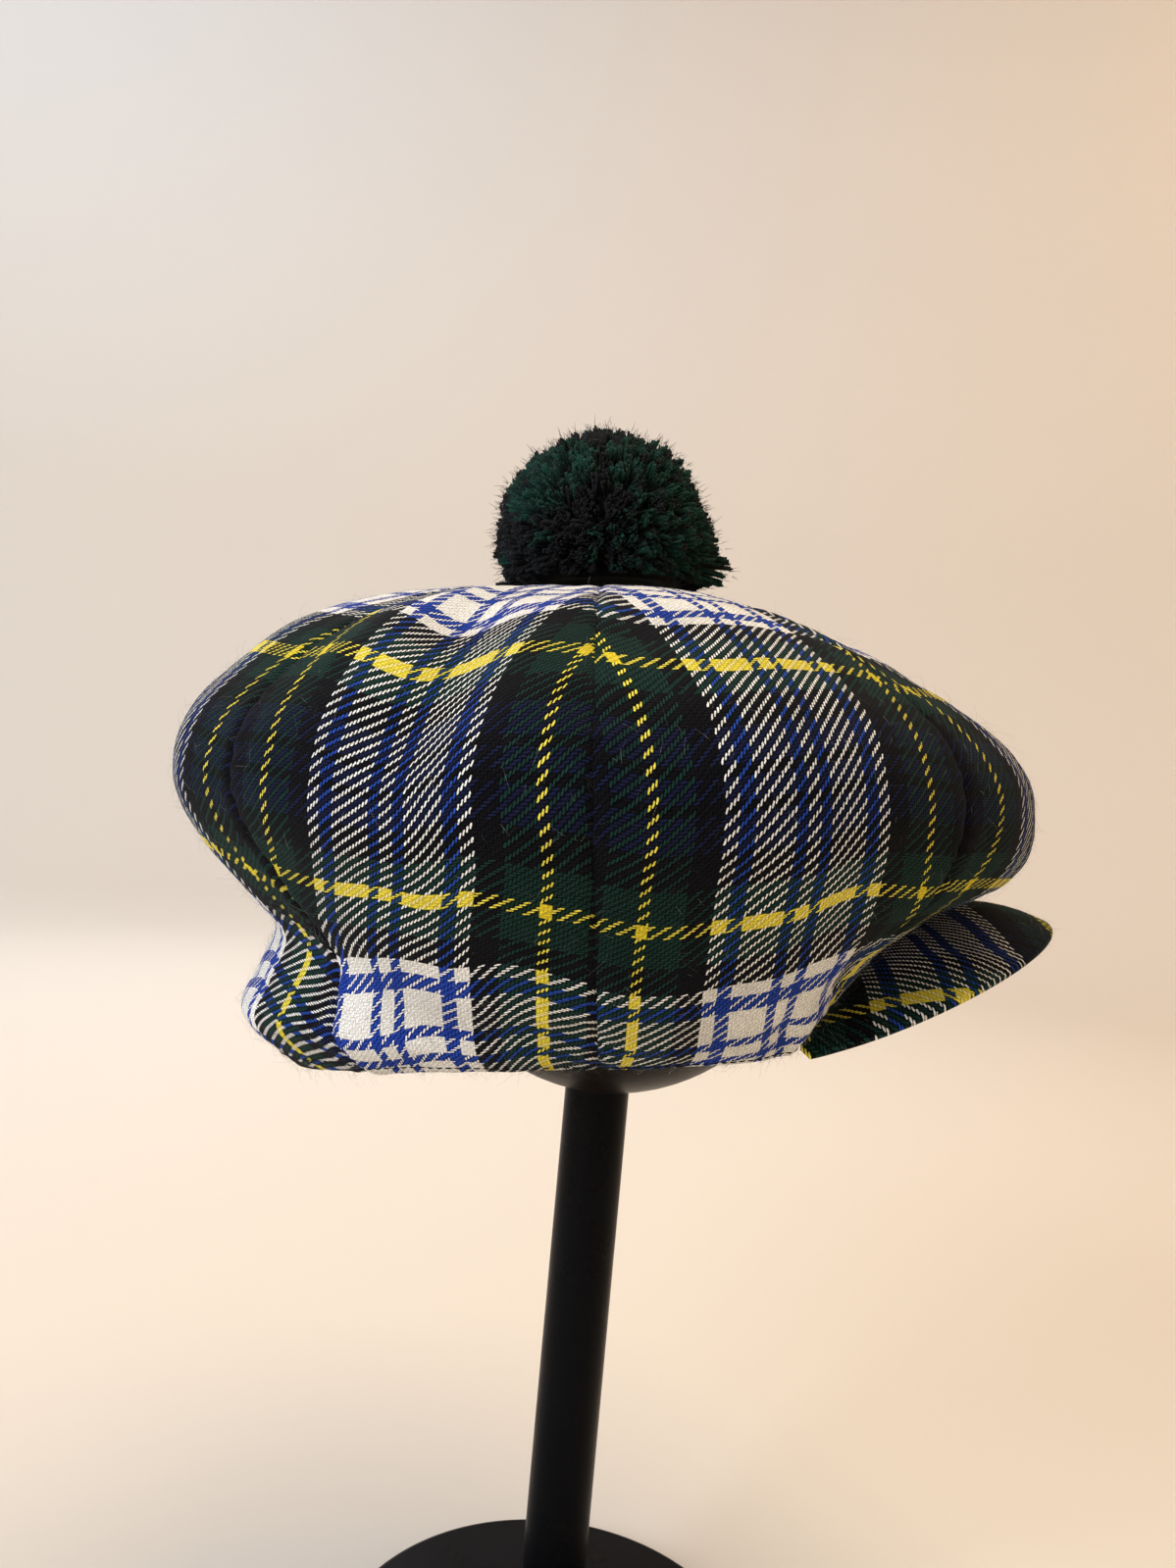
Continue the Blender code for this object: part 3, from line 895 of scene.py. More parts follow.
# How each gore's cloth was cut, in metres. Aside is how far the middle of its white
# stripe stands from the gore's middle towards the cap's left, at five even steps from the
# rim to the hem. The other three are how far its weft stripes stand down towards the hem,
# at even steps from one seam to the other, the way the gores are counted. Ease is how much
# wider the cloth lies, at even steps from the rim to the hem.
GORE_COLUMNS = ("aside", "on_crown", "under_rim", "at_band", "ease")
GORE_CLOTH = {
    1: (
        (0.0, 0.0, 0.0, 0.0, 0.0), (0.0, 0.0), (-0.003, -0.005, -0.006, -0.002, 0.003),
        (-0.003, -0.005, -0.006, -0.002, 0.003), (1.0, 1.0),
    ),
    2: (
        (0.003, -0.0003, -0.0075, -0.0147, -0.018), (0.001, 0.001),
        (0.003, -0.001, -0.003, 0.001, 0.004), (0.004, 0.000, -0.003, 0.000, 0.005),
        (1.0, 1.02, 1.04),
    ),
    3: (
        (-0.004, -0.0009, 0.006, 0.0129, 0.016), (-0.002, -0.002),
        (0.004, 0.002, 0.001, 0.002, 0.003), (0.005, 0.002, 0.000, 0.002, 0.004),
        (1.0, 1.02, 1.04),
    ),
    4: (
        (0.002, 0.0008, -0.002, -0.0048, -0.006), (0.001, 0.001),
        (0.004, 0.000, -0.002, 0.000, 0.002), (0.004, 0.000, -0.002, 0.000, 0.002),
        (1.0, 1.0),
    ),
    5: (
        (0.003, -0.0007, -0.009, -0.0173, -0.021), (-0.004, -0.004),
        (0.002, -0.005, -0.009, -0.006, 0.001), (0.002, -0.005, -0.009, -0.004, 0.004),
        (1.0, 1.02, 1.04),
    ),
    6: (
        (0.0042, 0.0003, -0.0139, -0.0210, -0.0210),
        (-0.0040, -0.0030, 0.0010, 0.0034, -0.0065, -0.0058, -0.0074),
        (-0.0063, -0.0028, -0.0026, -0.0073, -0.0082, -0.0017, 0.0015),
        (0.0055, 0.0022, -0.0055, -0.0070, 0.0015), (1.0, 1.06, 1.16, 1.16, 1.07),
    ),
    7: (
        (-0.0025, 0.0004, 0.0068, 0.0133, 0.0162),
        (-0.0045, 0.0005, 0.0010, -0.0015, -0.0040, -0.0040, -0.0030),
        (0.0022, 0.0050, 0.0040, 0.0007, -0.0090, -0.0107, -0.0112),
        (0.0022, 0.0040, 0.0020, -0.0045, -0.0115), (1.0, 1.02, 1.06, 1.10, 1.12),
    ),
    8: (
        (0.001, 0.0008, 0.0005, 0.0002, 0.0), (-0.002, -0.002),
        (-0.0135, -0.0120, -0.0100, -0.0060, -0.0030), (-0.0135, -0.0120, -0.0100, -0.0060, -0.0030),
        (1.0, 1.0),
    ),
}


@dataclass
class Gores:
    """The eight gores of the cap's crown and band."""

    form: CapForm
    seat: float
    cells_across: int = 56
    cells_along: int = 150
    seam_crowding: float = 1.5
    pivot_from_centre: float = 0.162
    seam_gap: float = 0.00005
    lean_from: float = 6.5
    bow_from: float = 4.5
    bow_to: float = 10.0
    band_from: float = 9.2
    band_to: float = 11.2
    hem_round: float = 0.0010
    hem_rows: int = 6
    row_length: float = 0.006
    edge_thinning: float = 0.98

    def stations(self) -> list[float]:
        """Section row of each row of the grid, with the last few close round the hem.

        Returns:
            Row numbers from the crown's middle to the hem.
        """
        hem = self.form.hem
        rounded = self.hem_round / self.row_length
        plain_rows = self.cells_along - self.hem_rows
        rows = [(hem - rounded) * index / plain_rows for index in range(plain_rows)]
        for index in range(self.hem_rows + 1):
            turn = 0.5 * math.pi * index / self.hem_rows
            rows.append(hem - rounded * (1.0 - math.sin(turn)))
        return rows

    def build(self, finish: bpy.types.Material) -> None:
        """Make and dress every gore.

        Args:
            finish: The cloth.
        """
        for number in range(1, self.form.gores + 1):
            self.gore(number, finish)

    def gore(self, number: int, finish: bpy.types.Material) -> bpy.types.Object:
        """Make one gore between two seams, with its place in the cloth as a UV map.

        Args:
            number: The gore's number, counted to the cap's left from the front.
            finish: The cloth.

        Returns:
            The gore.
        """
        form = self.form
        middle = (2 * number - 1) * form.half_gore
        stations = self.stations()
        points = np.zeros((self.cells_along + 1, self.cells_across + 1, 3))
        turns = np.linspace(-1.0, 1.0, self.cells_across + 1)
        crowded = np.sign(turns) * (1.0 - (1.0 - np.abs(turns)) ** self.seam_crowding)
        for row, station in enumerate(stations):
            reach, _height = form.plain_section(middle, station)
            half = form.half_gore - 0.5 * self.seam_gap / reach
            curl = -self.hem_round * (1.0 - self.wall_share(row))
            for column, share in enumerate(crowded):
                points[row, column] = form.point(middle + share * half, station, self.seat, curl)
        cloth = self.cloth_places(number, points)

        def lay(across: float, up: float) -> tuple[Vector, tuple[float, float], float]:
            """Look up a place of the grid in the points and the flat cloth."""
            column = round(0.5 * (1.0 + across) * self.cells_across)
            row = round(0.5 * (1.0 - up) * self.cells_along)
            return Vector(points[row, column]), tuple(cloth[row, column] / MILLIMETRE), self.wall_share(row)

        name = f"tartan_gore_{number}"
        mesh, shares = cloth_sheet(name, self.cells_across, self.cells_along, lay)
        gore = add_piece(name, mesh, finish)
        give_wall(gore, shares, form.wall, -1.0)
        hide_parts(f"gore_{number}")
        return gore

    def wall_share(self, row: int) -> float:
        """Share of the wall that is left at a row of the grid, less round the hem's edge.

        Args:
            row: The row.

        Returns:
            The share.
        """
        left = row - (self.cells_along - self.hem_rows)
        turned = math.sin(0.5 * math.pi * max(left, 0) / self.hem_rows)
        return math.sqrt(1.0 - self.edge_thinning * turned ** 2)

    def cloth_places(self, number: int, points: np.ndarray) -> np.ndarray:
        """Where each point of a gore lies in the flat cloth.

        Args:
            number: The gore's number.
            points: World points by row and column.

        Returns:
            Distances across and along the warp, in metres, by row and column.
        """
        rows, columns, _three = points.shape
        centre = columns // 2
        steps_across = np.linalg.norm(np.diff(points, axis=1), axis=2)
        across = np.zeros((rows, columns))
        across[:, centre + 1:] = np.cumsum(steps_across[:, centre:], axis=1)
        across[:, :centre] = -np.cumsum(steps_across[:, :centre][:, ::-1], axis=1)[:, ::-1]
        steps_along = np.linalg.norm(np.diff(points, axis=0), axis=2)
        along = np.zeros((rows, columns))
        along[1:] = np.cumsum(steps_along, axis=0)

        half_width = 0.5 * (across[:, -1] - across[:, 0])
        share = across / np.maximum(half_width[:, None], 1e-6)

        cut = dict(zip(GORE_COLUMNS, GORE_CLOTH[number]))
        stations = self.stations()
        hem = self.form.hem
        steps = [max(station - self.lean_from, 0.0) / (hem - self.lean_from) for station in stations]
        shift, eased = (
            np.array([between_rows(cut[place], step * (len(cut[place]) - 1)) for step in steps])
            for place in ("aside", "ease")
        )
        turns = 0.5 * (1.0 + share[-1])
        crown, rim, band = (
            np.array([between_rows(cut[place], turn * (len(cut[place]) - 1)) for turn in turns])
            for place in ("on_crown", "under_rim", "at_band")
        )
        low = np.array([blur_step(station, self.bow_from, self.bow_to) for station in stations])[:, None]
        deep = np.array([blur_step(station, self.band_from, self.band_to) for station in stations])[:, None]
        fall = (crown * (1.0 - low) + rim * low) * (1.0 - deep) + band * deep
        half_sett = TartanWool().weft_half_sett * MILLIMETRE
        cloth = np.zeros((rows, columns, 2))
        cloth[:, :, 0] = (across - shift[:, None]) / eased[:, None]
        cloth[:, :, 1] = along - fall - self.pivot_from_centre + half_sett
        return cloth


@dataclass
class Peak:
    """The stiff peak under the front of the hem."""

    form: CapForm
    seat: float
    half_angle: float = math.radians(48.0)
    length: float = 0.062
    thickness: float = 0.003
    edge_lift: float = 0.06
    bulge: float = 0.15
    end_share: float = 0.06
    plan_power: float = 1.5
    edge_power: float = 1.6
    cells_across: int = 150
    cells_along: int = 44
    end_crowding: float = 1.4
    edge_crowding: float = 1.6
    thinnest: float = 0.02

    # The cloth was eased over the board, in metres. Places to the cap's left have these
    # places along the warp, counted from the yellow.
    lefts = (-0.075, -0.062, -0.023, 0.075)
    along_warp = (-0.0158, -0.0028, 0.0518, 0.1498)

    # Its first thick blue stripe lies straight across the cap. The second one lies this
    # far ahead of the cap's middle, and the yellow this far beyond the second one, at these
    # distances from the peak's middle.
    first_blue_ahead: float = 0.0855
    blue_from_white: float = 0.0171
    yellow_from_white: float = 0.0394
    eased_behind: float = 1.14
    distances = (0.000, 0.017, 0.040, 0.047, 0.070)
    second_blue_ahead = (0.110, 0.112, 0.1185, 0.1245, 0.1275)
    yellow_beyond = (0.034, 0.033, 0.028, 0.026, 0.026)

    def width(self, across: float) -> float:
        """Share of the peak's full length that stands out at a place across it.

        Args:
            across: From -1 at the right end to 1 at the left end.

        Returns:
            The share.
        """
        return 1.0 - (1.0 - self.end_share) * abs(across) ** self.plan_power

    def point(self, across: float, along: float) -> Vector:
        """Point of the peak's middle sheet.

        Args:
            across: From -1 at the right end to 1 at the left end.
            along: From -1 under the hem to 1 at the outer edge.

        Returns:
            The world point.
        """
        form = self.form
        azimuth = across * self.half_angle
        hem_reach, hem_height = form.section(azimuth, form.hem)
        step = math.radians(0.5)
        _reach, height_ahead = form.section(azimuth + step, form.hem)
        _reach, height_behind = form.section(azimuth - step, form.hem)
        rise = (height_ahead - height_behind) / (2.0 * step * hem_reach)
        width = self.width(across)
        slope = self.edge_lift + 4.0 * self.bulge * width
        tuck = 0.5 * form.wall
        half_board = 0.5 * self.thickness + form.clearance
        drop = half_board * math.sqrt(1.0 + rise * rise + slope * slope) + tuck * slope
        out = 0.5 * (1.0 + along)
        length = width * self.length
        reach = hem_reach - tuck + out * length
        bulge = 4.0 * self.bulge * width * out * (1.0 - out)
        arch = form.arch_share(azimuth)
        droop = form.arch_rise * form.crown_height * (arch - arch ** self.edge_power)
        height = hem_height - drop - out * droop + (self.edge_lift * out + bulge) * length
        return form.place(azimuth, reach, height, self.seat)

    def across_warp(self, place: Vector) -> float:
        """Place of a point across the cloth's warp.

        Args:
            place: The point of the peak.

        Returns:
            The distance from the middle of the white stripe, in metres.
        """
        second = float(np.interp(abs(place.y), self.distances, self.second_blue_ahead))
        yellow = second + float(np.interp(abs(place.y), self.distances, self.yellow_beyond))
        if place.x < self.first_blue_ahead:
            return (place.x - self.first_blue_ahead) / self.eased_behind - self.blue_from_white
        if place.x < second:
            share = (place.x - self.first_blue_ahead) / (second - self.first_blue_ahead)
            return self.blue_from_white * (2.0 * share - 1.0)
        share = (place.x - second) / (yellow - second)
        return self.blue_from_white + share * (self.yellow_from_white - self.blue_from_white)

    def build(self, finish: bpy.types.Material) -> bpy.types.Object:
        """Make the peak with its cloth laid across the cap.

        Args:
            finish: The cloth.

        Returns:
            The peak.
        """
        yellow = TartanWool().weft_half_sett * YELLOW_FROM_WHITE

        def lay(right: float, out: float) -> tuple[Vector, tuple[float, float], float]:
            """Crowd the grid to the peak's ends and edge, and find each place in the cloth."""
            across = -math.copysign(1.0 - (1.0 - abs(right)) ** self.end_crowding, right)
            along = 1.0 - 2.0 * (1.0 - 0.5 * (1.0 + out)) ** self.edge_crowding
            from_edge = 0.5 * (1.0 - along) * self.width(across) * self.length
            turned = max(0.0, 1.0 - from_edge / (0.5 * self.thickness))
            place = self.point(across, along)
            warp = float(np.interp(place.y, self.lefts, self.along_warp)) / MILLIMETRE
            flat = (self.across_warp(place) / MILLIMETRE, warp + yellow)
            return place, flat, math.sqrt(max(1.0 - turned ** 2, self.thinnest))

        mesh, shares = cloth_sheet("tartan_peak", self.cells_across, self.cells_along, lay)
        peak = add_piece("tartan_peak", mesh, finish)
        give_wall(peak, shares, self.thickness, 0.0)
        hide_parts("peak")
        return peak


# Strands

# Light that reaches the roots of a strand, and how it grows along it
ROOT_SHADE = 0.25
SHADE_POWER = 1.5


@dataclass
class Strand:
    """One bent, tapering strand of wool."""

    root: Vector
    bend: Vector
    tip: Vector
    root_radius: float
    tip_radius: float
    dye: float
    shade: float


def strand_mesh(name: str, strands: Sequence[Strand], sides: int, rings: int) -> bpy.types.Mesh:
    """Join many strands in one mesh, each a copy of one rod bent along its own curve.

    Args:
        name: The mesh's name.
        strands: The strands.
        sides: Sides of each strand.
        rings: Lengths that each strand is divided in.

    Returns:
        The mesh, with the attributes "dye" and "shade".
    """
    rod = bmesh.new()
    bmesh.ops.create_cone(
        rod, cap_ends=True, cap_tris=False, segments=sides, radius1=1.0, radius2=1.0, depth=1.0,
        matrix=Matrix.Translation((0.0, 0.0, 0.5)),
    )
    upright = [edge for edge in rod.edges if abs(edge.verts[0].co.z - edge.verts[1].co.z) > 0.5]
    bmesh.ops.subdivide_edges(rod, edges=upright, cuts=rings - 1)
    rod.verts.index_update()
    unit = np.array([vertex.co[:] for vertex in rod.verts])
    faces = [[vertex.index for vertex in face.verts] for face in rod.faces]
    rod.free()

    roots, bends, tips = (
        np.array([getattr(strand, part)[:] for strand in strands]) for part in ("root", "bend", "tip")
    )
    axis = tips - roots
    axis /= np.linalg.norm(axis, axis=1)[:, None]
    helper = np.where(np.abs(axis[:, 2:3]) < 0.9, [[0.0, 0.0, 1.0]], [[1.0, 0.0, 0.0]])
    side = np.cross(axis, helper)
    side /= np.linalg.norm(side, axis=1)[:, None]
    other = np.cross(axis, side)
    along = unit[:, 2]
    root_radii, tip_radii, tip_shades, tip_dyes = (
        np.array([getattr(strand, part) for strand in strands])
        for part in ("root_radius", "tip_radius", "shade", "dye")
    )
    radii = root_radii[:, None] * (1.0 - along) + tip_radii[:, None] * along
    line = (
        roots[:, None] * ((1.0 - along) ** 2)[None, :, None]
        + bends[:, None] * (2.0 * along * (1.0 - along))[None, :, None]
        + tips[:, None] * (along ** 2)[None, :, None]
    )
    ring = (
        side[:, None] * unit[None, :, 0, None] + other[:, None] * unit[None, :, 1, None]
    ) * radii[:, :, None]
    vertices = (line + ring).reshape(-1, 3)

    corners = np.concatenate([np.array(face) for face in faces])
    sizes = np.array([len(face) for face in faces])
    offsets = np.arange(len(strands)) * len(unit)
    loops = (corners[None, :] + offsets[:, None]).ravel()
    totals = np.tile(sizes, len(strands))
    starts = np.concatenate([[0], np.cumsum(totals)[:-1]])
    mesh = bpy.data.meshes.new(name)
    mesh.vertices.add(len(vertices))
    mesh.vertices.foreach_set("co", vertices.ravel())
    mesh.loops.add(len(loops))
    mesh.loops.foreach_set("vertex_index", loops)
    mesh.polygons.add(len(totals))
    mesh.polygons.foreach_set("loop_start", starts)
    mesh.polygons.foreach_set("loop_total", totals)
    dyes = np.repeat(tip_dyes, len(unit))
    lit = ROOT_SHADE + (1.0 - ROOT_SHADE) * along ** SHADE_POWER
    shades = tip_shades[:, None] * lit[None, :]
    for label, values in (("dye", dyes), ("shade", shades.ravel())):
        layer = mesh.attributes.new(label, "FLOAT", "POINT")
        layer.data.foreach_set("value", values.astype(np.float32))
    mesh.update(calc_edges=True)
    mesh.validate()
    mesh.shade_smooth()
    return mesh


def triangle_count(mesh: bpy.types.Mesh) -> int:
    """Number of triangles in a mesh."""
    return sum(polygon.loop_total - 2 for polygon in mesh.polygons)


def spherical(azimuth: float, elevation: float) -> Vector:
    """Unit vector of an azimuth and an elevation."""
    level = math.cos(elevation)
    return Vector((level * math.cos(azimuth), level * math.sin(azimuth), math.sin(elevation)))


@dataclass
class Pompom:
    """The cut-wool pompom, in two dyes, with the black end of its tie."""

    form: CapForm
    seat: float
    radius: float = 0.0385
    height: float = 0.055
    tufts: int = 1020
    strands_a_tuft: int = 9
    fibres_a_tuft: int = 12
    core_share: float = 0.80
    spike_angle: float = 14.0
    foot_quarter_rows: int = 8
    least_green: float = 0.10
    seed: int = 11

    # A tuft, in radii: where it was cut, how the cut waves round the ball and from tuft
    # to tuft, and its half width. Its turn and its lean are uneven too, and the lowest
    # tufts stand a little past the foot.
    cut_at: float = 0.975
    cut_wave: float = 0.035
    cut_waves: float = 5.0
    cut_uneven = (-0.025, 0.030)
    half_widths = (0.038, 0.052)
    turn_uneven: float = 0.06
    lean_uneven: float = 0.05
    past_foot: float = 0.03

    # Its dye when it is green and when it is black, and how light it is
    green_dyes = (0.6, 1.0)
    black_dyes = (0.0, 0.06)
    tones = (0.5, 1.3)

    # A strand: where it starts and bends, how the tuft's end is domed, how even its
    # strands are, and its radius at the root and at the tip, in metres
    root_at: float = 0.62
    bend_at: float = 0.80
    bend_spread: float = 1.1
    dome: float = 0.030
    strand_lengths = (0.975, 1.0)
    strand_tones = (0.6, 1.3)
    strand_radius: float = 0.00056
    strand_tips = (0.00028, 0.00050)

    # A loose fibre: where it starts, and its spread, length and radii in metres
    fibre_starts = (0.90, 0.985)
    fibre_spread: float = 0.0009
    fibre_lengths = (0.0006, 0.0020)
    fibre_radii = (0.00011, 0.00003)
    fibre_tone: float = 1.1

    # Least height above the foot of a strand's tip, bend and root, and of a fibre
    foot_room = (0.0006, 0.0010, 0.0012)
    fibre_room: float = 0.0004

    # Where the tie's end lies on the crown: azimuth, and section row
    tie_path = ((-150.0, 0.6), (-157.0, 0.95), (-162.0, 1.24))
    tie_plies: int = 14
    tie_radii = (0.0008, 0.0007)
    tie_above: float = 0.0014

    # Tufts that the shears missed: azimuth and elevation, and length in radii
    long_tufts = (
        ("top", -95.0, 84.0, 1.09),
        ("upper right", -20.0, 50.0, 1.10),
        ("low at the right", -5.0, -17.0, 1.26),
        ("above it", -12.0, -3.0, 1.10),
        ("left shoulder", -150.0, 20.0, 1.05),
    )

    # Where the green yarn shows: azimuth and elevation of the middle of each patch and
    # its reach, in degrees, and the share of its tufts that are green. Elsewhere the
    # least share is green.
    green_patches = (
        ("upper left", -128.0, 32.0, 30.0, 0.95),
        ("right side", -35.0, 15.0, 52.0, 0.82),
        ("low at the near side", -86.0, -12.0, 12.0, 0.7),
        ("top at the right", -20.0, 62.0, 26.0, 0.7),
        ("far side", 95.0, 25.0, 42.0, 0.85),
        ("far back", 165.0, 50.0, 24.0, 0.8),
    )

    def foot(self) -> float:
        """Height of the flat foot along the cap's axis.

        Returns:
            The height above the hem's middle plane.
        """
        highest = 0.0
        for turn in range(self.form.fit_turns):
            azimuth = math.radians(360.0 / self.form.fit_turns * turn)
            for quarter_row in range(self.foot_quarter_rows):
                _reach, height = self.form.section(azimuth, 0.25 * quarter_row)
                highest = max(highest, height)
        return highest + self.form.clearance

    def greenness(self, direction: Vector) -> float:
        """Share of green tufts in a direction from the pompom's middle.

        Args:
            direction: Unit vector.

        Returns:
            The share.
        """
        share = self.least_green
        for _name, azimuth, elevation, reach, most in self.green_patches:
            middle = spherical(math.radians(azimuth), math.radians(elevation))
            off = math.degrees(middle.angle(direction))
            share = max(share, most * (1.0 - blur_step(off, 0.75 * reach, 1.15 * reach)))
        return share

    def strands(self) -> tuple[list[Strand], list[Strand]]:
        """Lay the tufts' strands and their loose fibres out from the middle.

        Returns:
            The thick strands, then the fine fibres.
        """
        chance = random.Random(self.seed)
        drop = self.height - self.radius
        lowest = -drop / self.radius
        golden = math.pi * (3.0 - math.sqrt(5.0))
        thick: list[Strand] = []
        fine: list[Strand] = []
        for index in range(self.tufts):
            up = 1.0 - (1.0 - lowest + self.past_foot) * (index + 0.5) / self.tufts
            level = math.sqrt(max(1.0 - up * up, 0.0))
            turn = golden * index + chance.uniform(-self.turn_uneven, self.turn_uneven)
            direction = Vector((level * math.cos(turn), level * math.sin(turn), up))
            cut = self.cut_at + self.cut_wave * noise.noise(direction * self.cut_waves)
            length = self.radius * (cut + chance.uniform(*self.cut_uneven))
            for _name, azimuth, elevation, reach in self.long_tufts:
                spike = spherical(math.radians(azimuth), math.radians(elevation))
                nearness = max(1.0 - math.degrees(spike.angle(direction)) / self.spike_angle, 0.0)
                length += (reach - 1.0) * self.radius * nearness
            green = 1.0 if chance.random() < self.greenness(direction) else 0.0
            dye = green * chance.uniform(*self.green_dyes) + (1.0 - green) * chance.uniform(*self.black_dyes)
            tone = chance.uniform(*self.tones)
            width = self.radius * chance.uniform(*self.half_widths)
            lean = Vector([chance.gauss(0.0, self.lean_uneven) for _axis in range(3)])
            for _strand in range(self.strands_a_tuft):
                aside = Vector([chance.gauss(0.0, 1.0) for _axis in range(3)])
                aside -= aside.project(direction)
                share = math.sqrt(chance.random())
                aside = aside.normalized() * width * share
                reach = length * (1.0 - self.dome * share * share) * chance.uniform(*self.strand_lengths)
                tip = (direction + lean * 0.6).normalized() * reach + aside
                root = direction * self.radius * self.root_at
                bend = (direction - lean * 0.5) * reach * self.bend_at + aside * self.bend_spread
                for point, room in zip((tip, bend, root), self.foot_room):
                    point.z = max(point.z, room - drop)
                thick.append(Strand(
                    root, bend, tip, self.strand_radius, chance.uniform(*self.strand_tips), dye,
                    tone * chance.uniform(*self.strand_tones),
                ))
            for _fibre in range(self.fibres_a_tuft):
                aside = Vector([chance.gauss(0.0, 1.0) for _axis in range(3)])
                start = direction * length * chance.uniform(*self.fibre_starts) + aside * self.fibre_spread
                tip = start + (direction * 0.7 + aside * 0.5) * chance.uniform(*self.fibre_lengths)
                bend = start.lerp(tip, 0.5)
                for point in (start, tip, bend):
                    point.z = max(point.z, self.fibre_room - drop)
                fine.append(Strand(start, bend, tip, *self.fibre_radii, dye, self.fibre_tone * tone))
        return thick, fine

    def build(self, finish: bpy.types.Material) -> None:
        """Make the pompom, its loose fibres and its tie end.

        Args:
            finish: The yarn.
        """
        drop = self.height - self.radius
        middle = self.form.place(0.0, 0.0, self.foot() + drop, self.seat)
        upright = Matrix.Translation(middle) @ Matrix.Rotation(-self.form.tilt, 4, "Y")
        thick, fine = self.strands()
        body = strand_mesh("pompom_yarn", thick, 4, 2)
        body.transform(upright)
        # A ball fills the pompom's middle. Its points get no dye or shade, so it is drawn black: painted
        # shade deep among the strands
        core = bmesh.new()
        bmesh.ops.create_uvsphere(core, u_segments=32, v_segments=20, radius=self.core_share * self.radius)
        for vertex in core.verts:
            vertex.co.z = max(vertex.co.z, self.fibre_room - drop)
        core.transform(upright)
        core.from_mesh(body)
        core.to_mesh(body)
        core.free()
        pompom = add_piece("pompom_yarn", body, finish)
        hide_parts("pompom")
        log.info("pompom_yarn: %d triangles", triangle_count(body))
        fuzz = strand_mesh("pompom_fibres", fine, 3, 1)
        fuzz.transform(upright)
        add_piece("pompom_fibres", fuzz, finish)
        self.tie(finish)

    def tie(self, finish: bpy.types.Material) -> None:
        """Make the end of the black yarn that ties the pompom on, lying on the crown.

        Args:
            finish: The yarn.
        """
        chance = random.Random(self.seed + 1)
        strands = []
        for _ply in range(self.tie_plies):
            swerve = [chance.gauss(0.0, 0.0005), chance.gauss(0.0, 0.0005), chance.gauss(0.0002, 0.0002)]
            points = []
            for turn, station in self.tie_path:
                point = self.form.point(math.radians(turn), station, self.seat, self.tie_above)
                points.append(point + Vector(swerve) * (0.6 + station))
            strands.append(Strand(*points, *self.tie_radii, 0.0, 0.8))
        tie = strand_mesh("pompom_tie", strands, 6, 6)
        add_piece("pompom_tie", tie, finish)


@dataclass
class HemStitching:
    """The dark line of top-stitching just above the hem."""

    form: CapForm
    seat: float
    pitch: float = 0.0028
    thread: float = 0.00022
    station: float = 13.62

    # A stitch's start, middle and end: share of the pitch, and height over the cloth
    stitch = ((0.08, -0.0002), (0.5, 0.00055), (0.92, -0.0002))

    def build(self, finish: bpy.types.Material) -> bpy.types.Object:
        """Make a stitch for each pitch of the hem, over each gore.

        Args:
            finish: The thread.

        Returns:
            The stitches.
        """
        stitches = []
        azimuth = -math.pi
        while azimuth < math.pi:
            reach, _height = self.form.section(azimuth, self.station)
            turn = self.pitch / reach
            points = []
            for share, out in self.stitch:
                points.append(self.form.point(azimuth + share * turn, self.station, self.seat, out))
            stitches.append(Strand(*points, self.thread, self.thread, 0.0, 1.0))
            azimuth += turn
        mesh = strand_mesh("hem_stitching", stitches, 6, 4)
        return add_piece("hem_stitching", mesh, finish)


